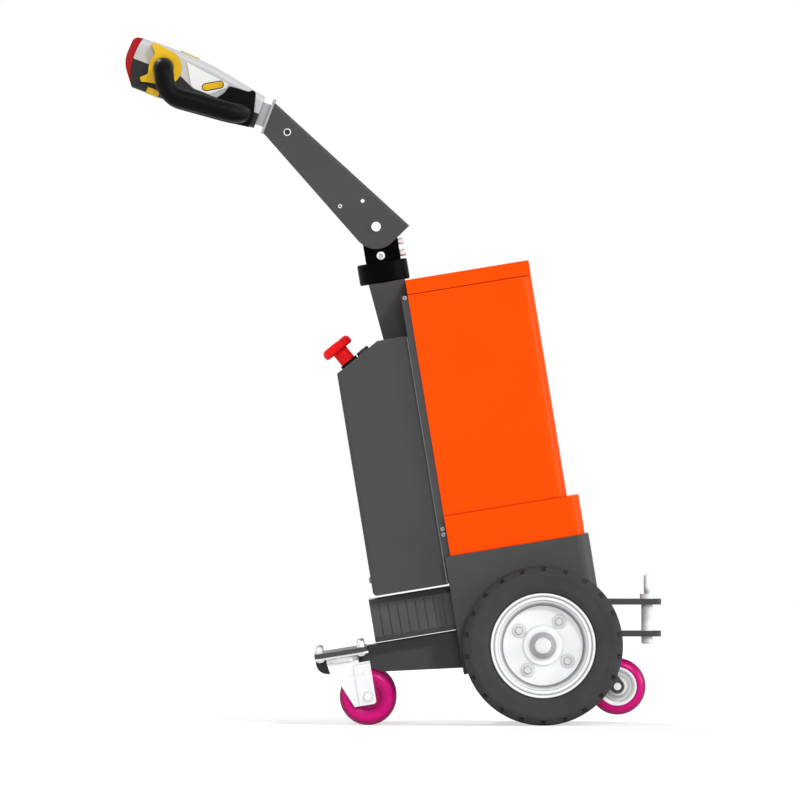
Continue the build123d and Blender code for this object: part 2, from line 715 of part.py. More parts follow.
for side, outward in SIDES:
    across = outward * CASTER_ACROSS
    seat = level_plane(caster_seat, CASTER_ALONG, across)
    flank = side_plane(across, CASTER_ALONG, caster_seat)
    hub = body_point(CASTER_ALONG + CASTER_TRAIL, caster_seat - caster_drop, across)

    with BuildPart() as caster_plate:
        with BuildSketch(seat):
            Rectangle(CASTER_PLATE_LENGTH, CASTER_PLATE_WIDTH)
        extrude(amount=-CASTER_PLATE_SHEET)
        with BuildSketch(seat):
            Circle(KING_PIN_RADIUS)
        extrude(amount=crown_foot)
    keep(caster_plate, f"caster_plate_{side}")

    with BuildPart() as fork:
        with BuildSketch(flank):
            add(fork_outline())
        extrude(amount=fork_width / 2, both=True)
        with BuildSketch(flank):
            add(fork_outline())
            with Locations((FORK_PAD_BACK + FORK_HEEL, crown_foot + leg_foot)):
                Rectangle(2 * FORK_HEEL, -2 * leg_foot, mode=Mode.INTERSECT)
        extrude(amount=fork_width / 2 + FORK_PAD, both=True)
        with BuildSketch(flank):
            with Locations((0, crown_foot - caster_drop)):
                Rectangle(4 * CASTER_RADIUS, 2 * caster_drop)
        extrude(amount=FORK_INSIDE / 2, both=True, mode=Mode.SUBTRACT)
        with BuildSketch(seat.offset(race_top)):
            Circle(CASTER_RACE_RADIUS)
        extrude(amount=-CASTER_RACE_HEIGHT)
        with BuildSketch(seat):
            Circle(KING_PIN_RADIUS + RUNNING_GAP)
        extrude(amount=leg_foot, mode=Mode.SUBTRACT)
        with BuildSketch(flank):
            with Locations((CASTER_TRAIL, -caster_drop)):
                Circle(CASTER_AXLE_RADIUS)
        extrude(amount=fork_width, both=True, mode=Mode.SUBTRACT)
    keep(fork, f"caster_fork_{side}")

    with BuildPart() as caster_axle:
        with BuildSketch(flank):
            with Locations((CASTER_TRAIL, -caster_drop)):
                Circle(CASTER_AXLE_RADIUS)
        extrude(amount=fork_width / 2 + FORK_PAD, both=True)
        for end in (1, -1):
            nut_face = Plane(hub + LEFT * end * (fork_width / 2 + FORK_PAD), x_dir=ALONG, z_dir=LEFT * end)
            with BuildSketch(nut_face):
                RegularPolygon(CASTER_NUT_RADIUS, 6)
            extrude(amount=CASTER_NUT_HEIGHT)
    keep(caster_axle, f"caster_axle_{side}")

    half_tread = CASTER_TREAD_WIDTH / 2
    half_boss = CASTER_BOSS_WIDTH / 2
    with BuildPart() as caster_wheel:
        with BuildSketch(wheel_section(hub, outward)):
            Polygon(
                *both_halves(
                    (
                        (half_boss, CASTER_AXLE_RADIUS + RUNNING_GAP),
                        (half_boss, CASTER_BOSS_RADIUS),
                        (half_tread - CASTER_WEB_DEPTH, CASTER_WEB_RADIUS),
                        (half_tread, CASTER_FACE_RADIUS),
                        *[(half_tread - inwards, CASTER_RADIUS - down) for inwards, down in TREAD_STEPS],
                    )
                ),
                align=None,
            )
        revolve(axis=Axis(hub, LEFT))
    keep(caster_wheel, f"caster_wheel_{side}")

# Front anti-tip wheel: lug fork under the floor pan, axle, hub and tread
tip_centre = body_point(TIP_ALONG, TIP_UP)
lug_outside = LUG_ARM_GAP / 2 + LUG_ARM_SHEET
lug_foot = CHASSIS_BOTTOM - LUG_BASE_SHEET
with BuildPart() as tip_fork:
    with BuildSketch(level_plane(CHASSIS_BOTTOM)):
        with Locations(((LUG_BASE_BACK + LUG_BASE_FRONT) / 2, 0)):
            Rectangle(LUG_BASE_FRONT - LUG_BASE_BACK, 2 * lug_outside)
    extrude(amount=-LUG_BASE_SHEET)
    with BuildSketch(side_plane()):
        with Locations((TIP_ALONG, TIP_UP)):
            Circle(LUG_ARM_ROUND)
        Polygon(
            (LUG_BASE_BACK, lug_foot),
            (LUG_BASE_FRONT, lug_foot),
            (LUG_BASE_FRONT, CHASSIS_BOTTOM),
            (LUG_BASE_BACK, CHASSIS_BOTTOM),
            align=None,
        )
        make_hull()
        with Locations((TIP_ALONG, TIP_UP)):
            Circle(TIP_AXLE_RADIUS, mode=Mode.SUBTRACT)
    extrude(amount=lug_outside, both=True)
    with BuildSketch(side_plane(up=lug_foot - TIP_RADIUS * 2)):
        Rectangle(8 * TIP_RADIUS, 4 * TIP_RADIUS)
    extrude(amount=LUG_ARM_GAP / 2, both=True, mode=Mode.SUBTRACT)
keep(tip_fork, "tip_wheel_fork")

with BuildPart() as tip_axle:
    with BuildSketch(side_plane()):
        with Locations((TIP_ALONG, TIP_UP)):
            Circle(TIP_AXLE_RADIUS)
    extrude(amount=lug_outside + TIP_AXLE_END, both=True)
keep(tip_axle, "tip_wheel_axle")

half_tip = TIP_WIDTH / 2
with BuildPart() as tip_hub:
    with BuildSketch(wheel_section(tip_centre, 1)):
        Polygon(
            *both_halves(
                (
                    (half_tip + TIP_BOSS_RISE, TIP_AXLE_RADIUS + RUNNING_GAP),
                    (half_tip + TIP_BOSS_RISE, TIP_BOSS_RADIUS),
                    (half_tip - TIP_WEB_DEPTH, TIP_WEB_INNER),
                    (half_tip - TIP_WEB_DEPTH, TIP_WEB_OUTER),
                    (half_tip - TIP_RIM_DEPTH, TIP_RIM_INNER),
                    (half_tip - TIP_RIM_DEPTH, TIP_HUB_RADIUS),
                )
            ),
            align=None,
        )
    revolve(axis=Axis(tip_centre, LEFT))
keep(tip_hub, "tip_wheel_hub")

with BuildPart() as tip_tread:
    with BuildSketch(wheel_section(tip_centre, 1)):
        Polygon(
            *both_halves(
                (
                    (half_tip - TIP_RIM_DEPTH, TIP_HUB_RADIUS),
                    *[(half_tip - inwards, TIP_RADIUS - down) for inwards, down in TREAD_STEPS],
                )
            ),
            align=None,
        )
    revolve(axis=Axis(tip_centre, LEFT))
keep(tip_tread, "tip_wheel_tread")

# Tow jaw: level plates cut to the leaning chassis front, joined by a back plate
pin_x = AXLE_X + PIN_REACH
jaw_top = JAW_UPPER_Z + JAW_SHEET
with BuildPart() as tow_jaw:
    for plate_z in (JAW_LOWER_Z, JAW_UPPER_Z):
        with BuildSketch(Plane.XY.offset(plate_z)) as plate_plan:
            with Locations((AXLE_X + JAW_REACH / 2, 0)):
                Rectangle(JAW_REACH, JAW_WIDTH)
            fillet(plate_plan.vertices().group_by(Axis.X)[-1], JAW_CORNER)
            with Locations((pin_x, 0)):
                Circle(PIN_RADIUS + PIN_CLEARANCE, mode=Mode.SUBTRACT)
        extrude(amount=JAW_SHEET)
    split(bisect_by=Plane(body_point(CHASSIS_FRONT, 0), z_dir=ALONG), keep=Keep.TOP)
    with BuildSketch(Plane(body_point(CHASSIS_FRONT, 0), x_dir=LEFT, z_dir=ALONG)):
        with Locations((0, (JAW_LOWER_Z + jaw_top) / 2 - TYRE_RADIUS - CHASSIS_FRONT * sin(lean))):
            Rectangle(JAW_WIDTH, jaw_top - JAW_LOWER_Z + 2 * JAW_SHEET)
    extrude(amount=JAW_BACK_SHEET)
keep(tow_jaw, "tow_jaw")

with BuildPart() as tow_pin:
    with BuildSketch(Plane.XY.offset(PIN_FOOT_Z)):
        with Locations((pin_x, 0)):
            Circle(PIN_RADIUS)
    extrude(amount=jaw_top - PIN_FOOT_Z)
    chamfer(tow_pin.edges().sort_by(Axis.Z)[0], PIN_TIP)
    with BuildSketch(Plane.XY.offset(jaw_top)):
        with Locations((pin_x, 0)):
            Circle(PIN_COLLAR_RADIUS)
    extrude(amount=PIN_COLLAR_HEIGHT)
keep(tow_pin, "tow_pin")

# Pull ring of bent bar standing across the pin's collar
ring_foot = jaw_top + PIN_COLLAR_HEIGHT
ring_top = ring_foot + PULL_RING_HEIGHT - PULL_RING_BAR
ring_half = PULL_RING_WIDTH / 2 - PULL_RING_BAR
with BuildPart() as pull_ring:
    with BuildLine() as ring_path:
        FilletPolyline(
            (pin_x, -PULL_RING_BAR, ring_foot),
            (pin_x, -ring_half, ring_foot + ring_half - PULL_RING_BAR),
            (pin_x, -ring_half, ring_top),
            (pin_x, ring_half, ring_top),
            (pin_x, ring_half, ring_foot + ring_half - PULL_RING_BAR),
            (pin_x, PULL_RING_BAR, ring_foot),
            radius=PULL_RING_BEND,
        )
    with BuildSketch(Plane(ring_path.line @ 0, z_dir=ring_path.line % 0)):
        Circle(PULL_RING_BAR)
    sweep(path=ring_path.line)
    split(bisect_by=Plane.XY.offset(ring_foot), keep=Keep.TOP)
keep(pull_ring, "pull_ring")

# Swivel collar on the mast's head
collar_top = MAST_HEAD_TOP + COLLAR_HEIGHT
with BuildPart() as swivel_collar:
    with BuildSketch(level_plane(MAST_HEAD_TOP, PIVOT_ALONG)):
        Circle(COLLAR_RADIUS)
    extrude(amount=COLLAR_HEIGHT)
    chamfer(swivel_collar.edges().filter_by(GeomType.CIRCLE), COLLAR_EDGE)
    with BuildSketch(level_plane(collar_top, PIVOT_ALONG)):
        Circle(SPINDLE_RADIUS + RUNNING_GAP)
    extrude(amount=-SPINDLE_LENGTH - RUNNING_GAP, mode=Mode.SUBTRACT)
keep(swivel_collar, "swivel_collar")

# Tiller bracket: turns on its spindle in the collar and carries the arm's pivot
bracket_foot = collar_top + RUNNING_GAP - PIVOT_UP
with BuildPart() as tiller_bracket:
    with BuildSketch(side_plane(0, PIVOT_ALONG, PIVOT_UP)):
        Polygon(
            (BRACKET_BACK, bracket_foot),
            (BRACKET_FRONT, bracket_foot),
            (BRACKET_FRONT, -BRACKET_ROUND),
            (BRACKET_ROUND, 0),
            (BRACKET_BACK, 0),
            align=None,
        )
        Circle(BRACKET_ROUND)
        Circle(PIVOT_RADIUS + RUNNING_GAP, mode=Mode.SUBTRACT)
    extrude(amount=BRACKET_WIDTH / 2, both=True)
    with BuildSketch(level_plane(collar_top + RUNNING_GAP, PIVOT_ALONG)):
        Circle(SPINDLE_RADIUS)
    extrude(amount=-SPINDLE_LENGTH)
keep(tiller_bracket, "tiller_bracket")

# Tiller arm: channel folded over the bracket, rounded under the pivot, cut square to the head
drop = radians(ARM_DROP)
tilt = radians(HEAD_DROP)
PIVOT = body_point(PIVOT_ALONG, PIVOT_UP)
ARM_BACK = Vector(cos(drop), 0, -sin(drop))
ARM_UP = Vector(sin(drop), 0, cos(drop))
HEAD_BACK = Vector(cos(tilt), 0, -sin(tilt))
HEAD_UP = Vector(sin(tilt), 0, cos(tilt))
HEAD = PIVOT - ARM_BACK * ARM_LENGTH
arm_side = Plane(PIVOT, x_dir=ARM_BACK, z_dir=-LEFT)
arm_inside = BRACKET_WIDTH / 2 + ARM_SIDE_GAP
arm_half = arm_inside + ARM_SHEET
top_slope = (ARM_TOP_AT_PIVOT - ARM_TOP_AT_HEAD) / ARM_LENGTH
foot_slope = (ARM_FOOT_AT_PIVOT - ARM_FOOT_AT_HEAD) / ARM_LENGTH
arm_end = -ARM_LENGTH - 2 * ARM_TOP_AT_HEAD
with BuildPart() as tiller_arm:
    with BuildSketch(arm_side):
        Polygon(
            (arm_end, -ARM_FOOT_AT_PIVOT - foot_slope * arm_end),
            (0, -ARM_FOOT_AT_PIVOT),
            (0, 0),
            (ARM_TAIL, 0),
            (ARM_TAIL, ARM_TOP_AT_PIVOT + top_slope * ARM_TAIL),
            (arm_end, ARM_TOP_AT_PIVOT + top_slope * arm_end),
            align=None,
        )
        Circle(ARM_TAIL)
        Circle(PIVOT_RADIUS, mode=Mode.SUBTRACT)
        with Locations((CABLE_HOLE_FROM_HEAD - ARM_LENGTH, CABLE_HOLE_UP)):
            Circle(CABLE_HOLE_RADIUS, mode=Mode.SUBTRACT)
        with Locations((-STOP_HOLE_FROM_PIVOT, STOP_HOLE_UP)):
            Circle(STOP_HOLE_RADIUS, mode=Mode.SUBTRACT)
    extrude(amount=arm_half, both=True)
    arm_top = tiller_arm.faces().sort_by(Axis((0, 0, 0), ARM_UP))[-1]
    fillet(arm_top.edges().sort_by(SortBy.LENGTH)[-2:], ARM_BEND)
    with BuildSketch(arm_side):
        Polygon(
            (arm_end, -2 * ARM_FOOT_AT_PIVOT),
            (2 * ARM_TAIL, -2 * ARM_FOOT_AT_PIVOT),
            (2 * ARM_TAIL, ARM_TOP_AT_PIVOT + 2 * top_slope * ARM_TAIL - ARM_SHEET),
            (arm_end, ARM_TOP_AT_PIVOT + top_slope * arm_end - ARM_SHEET),
            align=None,
        )
    extrude(amount=arm_inside, both=True, mode=Mode.SUBTRACT)
    split(bisect_by=Plane(HEAD + HEAD_BACK * FLANGE_SHEET, z_dir=HEAD_BACK), keep=Keep.TOP)
keep(tiller_arm, "tiller_arm")

with BuildPart() as pivot_bolt:
    with BuildSketch(arm_side):
        Circle(PIVOT_RADIUS)
    extrude(amount=arm_half + PIVOT_END, both=True)
keep(pivot_bolt, "tiller_pivot_bolt")


def head_plane(across=0.0):
    """Upright lengthwise plane of the tiller head, facing right: x runs back to the arm, y up."""
    return Plane(HEAD + LEFT * across, x_dir=HEAD_BACK, z_dir=-LEFT)


def head_point(back, across, up):
    """Point given in the tiller head's axes."""
    return HEAD + HEAD_BACK * back + LEFT * across + HEAD_UP * up


# Head flange: plate across the arm's end with the neck block that carries the head
with BuildPart() as head_flange:
    with BuildSketch(head_plane()):
        with Locations((FLANGE_SHEET / 2, 0)):
            Rectangle(FLANGE_SHEET, FLANGE_HEIGHT)
    extrude(amount=FLANGE_WIDTH / 2, both=True)
    with BuildSketch(head_plane()):
        with Locations((-NECK_LENGTH / 2, 0)):
            Rectangle(NECK_LENGTH, NECK_HEIGHT)
    extrude(amount=NECK_WIDTH / 2, both=True)
keep(head_flange, "head_flange")


def head_front():
    """Bulging line where the head's shells meet its belly button."""
    with BuildLine() as front:
        ThreePointArc(
            (-HEAD_FRONT, HEAD_TOP_FRONT),
            (-HEAD_FRONT - HEAD_FRONT_BULGE, HEAD_FRONT_BULGE_UP),
            (-HEAD_CHIN, HEAD_FOOT_FRONT),
        )
    return front.line


def head_outline():
    """Side outline of the moulded head without its belly button."""
    with BuildSketch() as outline:
        with BuildLine():
            add(head_front())
            Polyline(
                (-HEAD_CHIN, HEAD_FOOT_FRONT),
                (-HEAD_CHEEK, HEAD_FOOT_FRONT),
                (-NECK_LENGTH, HEAD_FOOT_BACK),
                (-NECK_LENGTH, HEAD_TOP_BACK),
                (-HEAD_BROW, HEAD_BROW_UP),
            )
            ThreePointArc(
                (-HEAD_BROW, HEAD_BROW_UP),
                (-HEAD_CREST, HEAD_CREST_UP),
                (-HEAD_FRONT, HEAD_TOP_FRONT),
            )
        make_face()
    return outline.sketch


def upper_region():
    """What of the head's outline belongs to the upper shell: its seam steps down behind the levers."""
    with BuildSketch() as region:
        Polygon(
            (-2 * HEAD_TIP, SEAM_FRONT),
            (-SEAM_BEND_FRONT, SEAM_FRONT),
            (-SEAM_BEND_BACK, SEAM_BACK),
            (0, SEAM_BACK),
            (0, HEAD_TIP),
            (-2 * HEAD_TIP, HEAD_TIP),
            align=None,
        )
        fillet(region.vertices().group_by(Axis.X)[1:3], SEAM_ROUND)
    return region.sketch


head_rise = Axis((0, 0, 0), HEAD_UP)
head_half = HEAD_WIDTH / 2

# Tiller head: silver upper shell over a dark lower shell, their long edges rounded, a raised panel on each flank.
# The upper shell is made lying on its side and then set in its place
with BuildPart() as upper_form:
    with BuildSketch():
        add(head_outline())
        add(upper_region(), mode=Mode.INTERSECT)
    extrude(amount=head_half, both=True)
    flanks = upper_form.faces().filter_by(Axis.Z)
    fillet(flanks.edges().sort_by(Axis.Y)[-4:], HEAD_EDGE)
    with BuildSketch() as panel_side:
        Polygon(*[(-ahead, up) for ahead, up in PANEL], align=None)
        panel_foot, *panel_top = panel_side.vertices().group_by(Axis.Y)
        fillet(panel_foot, PANEL_SWEEP)
        fillet([corner for corners in panel_top for corner in corners], PANEL_ROUND)
        with Locations(Location((-BUTTON_AHEAD, BUTTON_UP), BUTTON_TURN)):
            SlotOverall(BUTTON_LENGTH + 2 * BEZEL, BUTTON_WIDTH + 2 * BEZEL, mode=Mode.SUBTRACT)
    extrude(amount=head_half + PANEL_RISE, both=True)
with BuildPart() as head_upper:
    with Locations(head_plane().location):
        add(upper_form.part)
keep(head_upper, "head_upper_shell")

# The lower shell has a slot across its foot for the reversing bar
with BuildPart() as head_lower:
    with BuildSketch(head_plane()):
        add(head_outline())
        add(upper_region(), mode=Mode.SUBTRACT)
    extrude(amount=head_half, both=True)
    flanks = head_lower.faces().filter_by(Axis.Y)
    fillet(flanks.edges().sort_by(head_rise)[:4], HEAD_EDGE)
    with BuildSketch(head_plane()):
        with Locations((-BAR_AHEAD, BAR_TOP + HEAD_FOOT_FRONT)):
            Rectangle(BAR_LENGTH + 2 * BAR_CLEARANCE, -2 * HEAD_FOOT_FRONT + 2 * BAR_CLEARANCE)
    extrude(amount=HEAD_WIDTH, both=True, mode=Mode.SUBTRACT)
keep(head_lower, "head_lower_shell")

# Belly button: band across the head's tip, full at its top and thin at the chin
with BuildPart() as belly_button:
    with BuildSketch(head_plane()):
        with BuildLine():
            add(head_front())
            FilletPolyline(
                (-HEAD_CHIN, HEAD_FOOT_FRONT),
                (-HEAD_TIP, 0),
                (-HEAD_FRONT - BELLY_TOP_REACH, HEAD_TOP_FRONT - BELLY_TOP_DROP),
                (-HEAD_FRONT, HEAD_TOP_FRONT),
                radius=[BELLY_NOSE_ROUND, BELLY_TOP_ROUND],
            )
        make_face()
    extrude(amount=BELLY_WIDTH / 2, both=True)
    with BuildSketch(Plane(head_point(-HEAD_TIP, 0, HEAD_FOOT_FRONT), x_dir=HEAD_BACK, z_dir=HEAD_UP)) as belly_plan:
        with Locations((BELLY_DEPTH / 2, 0)):
            Rectangle(BELLY_DEPTH, BELLY_WIDTH)
        fillet(belly_plan.vertices().group_by(Axis.X)[0], BELLY_CORNER)
    extrude(amount=HEAD_TIP, mode=Mode.INTERSECT)
keep(belly_button, "belly_button")

# Grips: a moulded root on each flank, and a bar that runs out, forward and back in at the thumb lever
for side, outward in SIDES:
    route = (
        (-GRIP_START, head_half + GRIP_ROOT_ROUND, GRIP_START_UP),
        (-GRIP_ELBOW, GRIP_ACROSS, GRIP_ELBOW_UP),
        (-GRIP_KNUCKLE, GRIP_ACROSS, GRIP_KNUCKLE_UP),
        (-LEVER_FRONT, GRIP_ACROSS, LEVER_UP),
        (-LEVER_FRONT, head_half, LEVER_UP),
    )
    with BuildPart() as grip:
        with BuildLine() as grip_path:
            FilletPolyline(
                *[head_point(back, across * outward, up) for back, across, up in route],
                radius=[GRIP_ELBOW_BEND, GRIP_KNUCKLE_BEND, GRIP_FRONT_BEND],
            )
        with BuildSketch(Plane(grip_path.line @ 0, z_dir=grip_path.line % 0)):
            Circle(GRIP_RADIUS)
        sweep(path=grip_path.line)
        with BuildSketch(head_plane(outward * head_half)) as root_side:
            Polygon(*[(-ahead, up) for ahead, up in GRIP_ROOT], align=None)
            fillet(root_side.vertices(), GRIP_ROOT_ROUND)
        extrude(amount=-outward * GRIP_ROOT_DEPTH)
        split(bisect_by=Plane(head_point(0, outward * head_half, 0), z_dir=LEFT * outward), keep=Keep.TOP)
    keep(grip, f"grip_{side}")

# Thumb levers: a wing behind the front bar of each grip, an eared limb ahead of it
for side, outward in SIDES:
    wing_plane = head_plane(outward * (head_half + LEVER_GAP + LEVER_WIDTH / 2))
    with BuildPart() as thumb_lever:
        with BuildSketch(wing_plane):
            with Locations((-LEVER_FRONT, LEVER_UP)):
                Circle(LEVER_OUTER)
            with Locations((-LEVER_FRONT - LEVER_OUTER, LEVER_UP)):
                Rectangle(2 * LEVER_OUTER, 4 * LEVER_OUTER, mode=Mode.SUBTRACT)
            with Locations((-LEVER_FRONT, LEVER_UP - LEVER_OUTER)):
                Rectangle(4 * LEVER_OUTER, LEVER_OUTER, mode=Mode.SUBTRACT)
            Polygon(*[(-LEVER_FRONT - ahead, LEVER_UP + up) for ahead, up in LEVER_EAR], align=None)
            with Locations((-LEVER_FRONT, LEVER_UP)):
                Circle(GRIP_RADIUS + LEVER_CLEARANCE, mode=Mode.SUBTRACT)
        extrude(amount=LEVER_WIDTH / 2, both=True)
    keep(thumb_lever, f"thumb_lever_{side}")

# Push buttons: an oval on each flank of the head and the reversing bar under its front
with BuildPart() as head_buttons:
    with BuildSketch(head_plane()):
        with Locations((-BAR_AHEAD, (BAR_TOP + HEAD_FOOT_FRONT - BAR_RISE) / 2)):
            Rectangle(BAR_LENGTH, BAR_TOP - HEAD_FOOT_FRONT + BAR_RISE)
    extrude(amount=head_half + BAR_RISE, both=True)
    bar_foot = head_buttons.faces().sort_by(head_rise)[0]
    fillet(bar_foot.edges().sort_by(Axis.Y)[::3], BAR_EDGE)
    for outward in (1, -1):
        with BuildSketch(head_plane(outward * head_half)):
            with Locations(Location((-BUTTON_AHEAD, BUTTON_UP), BUTTON_TURN)):
                SlotOverall(BUTTON_LENGTH, BUTTON_WIDTH)
        extrude(amount=-outward * BUTTON_RISE)
keep(head_buttons, "head_buttons")
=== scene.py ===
from math import cos, pi, radians, sin

import bmesh
import bpy
from mathutils import Matrix, Vector


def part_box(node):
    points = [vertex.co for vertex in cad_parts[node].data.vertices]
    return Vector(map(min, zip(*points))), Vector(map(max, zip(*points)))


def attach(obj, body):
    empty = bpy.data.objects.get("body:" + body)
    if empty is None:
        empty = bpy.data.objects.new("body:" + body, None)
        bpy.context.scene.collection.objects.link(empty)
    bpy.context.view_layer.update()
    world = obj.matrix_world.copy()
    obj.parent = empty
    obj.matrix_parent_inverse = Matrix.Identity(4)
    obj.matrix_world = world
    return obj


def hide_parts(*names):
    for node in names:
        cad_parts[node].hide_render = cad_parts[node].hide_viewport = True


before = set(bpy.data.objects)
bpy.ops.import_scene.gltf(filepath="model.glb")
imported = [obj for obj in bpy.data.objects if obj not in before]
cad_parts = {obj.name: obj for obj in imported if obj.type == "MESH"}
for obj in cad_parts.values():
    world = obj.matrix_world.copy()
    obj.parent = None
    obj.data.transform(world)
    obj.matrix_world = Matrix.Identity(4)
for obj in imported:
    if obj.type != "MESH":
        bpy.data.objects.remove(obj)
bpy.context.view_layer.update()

# Chassis shell: a box folded from 4 mm sheet steel round the transaxle, with a deck on top.
# It is powder coated satin grey after welding, and everything else is bolted or welded to it.
MM = 0.001


def add_node(tree, kind, inputs=None, **settings):
    """One node with its settings; each input is a plain value or the socket that feeds it."""
    made = tree.nodes.new(kind)
    for key, value in settings.items():
        setattr(made, key, value)
    for key, value in (inputs or {}).items():
        if isinstance(value, bpy.types.NodeSocket):
            tree.links.new(value, made.inputs[key])
        else:
            made.inputs[key].default_value = value
    return made


def surface(
    name, colour, rough, spread=0.05, patch=16.0, grain=700.0, relief=0.006, edge=1.0, edge_wear_and_highlight=None, painted_corner_shade=None, **shader
):
    """Procedural finish: soft patches of tone, fine grain, eased edges, lightened edges and painted corner shade where
    asked.

    spread is how far the tone strays, patch and grain are per metre, relief and edge are in millimetres,
    edge_wear_and_highlight is (colour, amount), lightening edges as wear and on some finishes as a painted highlight,
    and painted_corner_shade is (reach in millimetres, amount), darkening corners and recesses as painted shade.
    """
    material = bpy.data.materials.new(name)
    material.use_nodes = True
    tree = material.node_tree
    tree.nodes.clear()
    place = add_node(tree, "ShaderNodeTexCoord").outputs["Object"]
    patches = add_node(tree, "ShaderNodeTexNoise", {"Vector": place, "Scale": patch, "Detail": 5.0, "Roughness": 0.62})
    even = add_node(
        tree, "ShaderNodeMapRange", {"Value": patches.outputs["Fac"], "From Min": 0.32, "From Max": 0.68}
    ).outputs["Result"]
    darker = [c * (1 - spread) for c in colour] + [1]
    lighter = [c * (1 + spread) for c in colour] + [1]
    tone = add_node(tree, "ShaderNodeMix", {0: even, 6: darker, 7: lighter}, data_type="RGBA").outputs[2]
    fine = add_node(tree, "ShaderNodeTexNoise", {"Vector": place, "Scale": grain, "Detail": 3.0, "Roughness": 0.5})
    eased = add_node(tree, "ShaderNodeBevel", {"Radius": edge * MM}, samples=4).outputs["Normal"]
    grained = add_node(
        tree,
        "ShaderNodeBump",
        {"Strength": 1.0, "Distance": relief * MM, "Height": fine.outputs["Fac"], "Normal": eased},
    )
    gloss = add_node(
        tree,
        "ShaderNodeMapRange",
        {"Value": even, "To Min": max(rough - 0.05, 0.04), "To Max": min(rough + 0.05, 1.0)},
    )
    # Edges lightened by the bevel mask: rubbed wear, and on the control box also a painted highlight.
    if edge_wear_and_highlight:
        sharp = add_node(tree, "ShaderNodeNewGeometry").outputs["Normal"]
        turn = add_node(tree, "ShaderNodeVectorMath", {0: sharp, 1: eased}, operation="DOT_PRODUCT").outputs["Value"]
        edge_mask = add_node(
            tree, "ShaderNodeMapRange", {"Value": turn, "From Min": 0.99, "From Max": 0.88, "To Max": edge_wear_and_highlight[1]}
        )
        lightened_edge = add_node(tree, "ShaderNodeMath", {0: edge_mask.outputs["Result"], 1: even}, operation="MULTIPLY")
        tone = add_node(
            tree, "ShaderNodeMix", {0: lightened_edge.outputs[0], 6: tone, 7: [*edge_wear_and_highlight[0], 1]}, data_type="RGBA"
        ).outputs[2]
    # Painted shade: ambient occlusion darkens the colour in corners, creases and recesses.
    if painted_corner_shade:
        reach, depth = painted_corner_shade
        corner = add_node(tree, "ShaderNodeAmbientOcclusion", {"Distance": reach * MM}, samples=6).outputs["AO"]
        unshaded = add_node(
            tree, "ShaderNodeMapRange", {"Value": corner, "From Min": 0.3, "From Max": 0.92, "To Min": 1 - depth}
        ).outputs["Result"]
        tone = add_node(
            tree, "ShaderNodeMix", {0: 1.0, 6: tone, 7: unshaded}, data_type="RGBA", blend_type="MULTIPLY"
        ).outputs[2]
    face = add_node(
        tree,
        "ShaderNodeBsdfPrincipled",
        {"Base Color": tone, "Roughness": gloss.outputs["Result"], "Normal": grained.outputs["Normal"], **shader},
    )
    add_node(tree, "ShaderNodeOutputMaterial", {"Surface": face.outputs["BSDF"]})
    return material


def dress(material, *names):
    """Give CAD nodes their finish."""
    for name in names:
        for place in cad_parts[name].material_slots:
            place.material = material


grey_coat = surface(
    "grey_coat", (0.062, 0.062, 0.063), 0.48, relief=0.010, edge_wear_and_highlight=((0.16, 0.16, 0.165), 0.55),
    **{"Specular IOR Level": 0.2},
)
dress(grey_coat, "chassis_shell")

# Transaxle: cast gear case, motor and axle tubes, hung inside the chassis and seen only from below.
# The casting is left sandy, with a thin coat of dark primer.
cast_housing = surface(
    "cast_housing", (0.10, 0.10, 0.105), 0.62, spread=0.14, patch=40.0, grain=420.0, relief=0.11, edge=2.0,
    Metallic=0.25,
)
dress(cast_housing, "transaxle")

# Drive wheels: pneumatic tyres with square shoulder lugs, on pressed steel rims plated bright zinc.
# Four hex bolts with washers clamp each rim to its hub, and a chromed cap closes the hub inside its seal.
LEFT = Vector((0, 1, 0))
SIDES = (("left", 1), ("right", -1))
AXLE = Vector((262.0, 0, 140)) * MM
TYRE_RADIUS = 140.0
WHEEL_ACROSS = 237.5
LUGS = 22
LUG_GAP = 8.0
LUG_EASE = 1.6
LUG_BEVEL = 0.8
CARCASS_EASE = 2.0
TYRE_STEPS = 176


def rounded(points, radius, steps=4):
    """Closed outline with each corner turned into a short curve."""
    outline = []
    for before, corner, after in zip(points[-1:] + points[:-1], points, points[1:] + points[:1]):
        corner = Vector(corner)
        back, ahead = Vector(before) - corner, Vector(after) - corner
        reach = min(radius, 0.45 * back.length, 0.45 * ahead.length)
        start, end = corner + back.normalized() * reach, corner + ahead.normalized() * reach
        for step in range(steps + 1):
            t = step / steps
            outline.append(start * (1 - t) ** 2 + corner * 2 * t * (1 - t) + end * t**2)
    return outline


def turned(profile, steps=128):
    """Solid turned about the y axis from a closed outline of (across, radius), in millimetres."""
    mesh = bmesh.new()
    rows = []
    for across, radius in profile:
        if radius < 1e-6:
            rows.append([mesh.verts.new((0, across, 0))])
            continue
        turns = [2 * pi * step / steps for step in range(steps)]
        rows.append([mesh.verts.new((radius * cos(a), across, radius * sin(a))) for a in turns])
    for one, two in zip(rows, rows[1:] + rows[:1]):
        if len(one) == 1 and len(two) == 1:
            continue
        for step in range(steps):
            after = (step + 1) % steps
            corners = [one[step % len(one)], one[after % len(one)], two[after % len(two)], two[step % len(two)]]
            mesh.faces.new(list(dict.fromkeys(corners)))
    bmesh.ops.recalc_face_normals(mesh, faces=mesh.faces)
    return mesh


def make_object(name, mesh, matrix=None):
    """Object at the origin from a bmesh in millimetres, moved to its place in the mesh itself."""
    data = bpy.data.meshes.new(name)
    matrix = matrix or Matrix()
    mesh.transform(matrix @ Matrix.Scale(MM, 4))
    if matrix.determinant() < 0:
        bmesh.ops.reverse_faces(mesh, faces=mesh.faces)
    mesh.to_mesh(data)
    mesh.free()
    made = bpy.data.objects.new(name, data)
    bpy.context.scene.collection.objects.link(made)
    return made


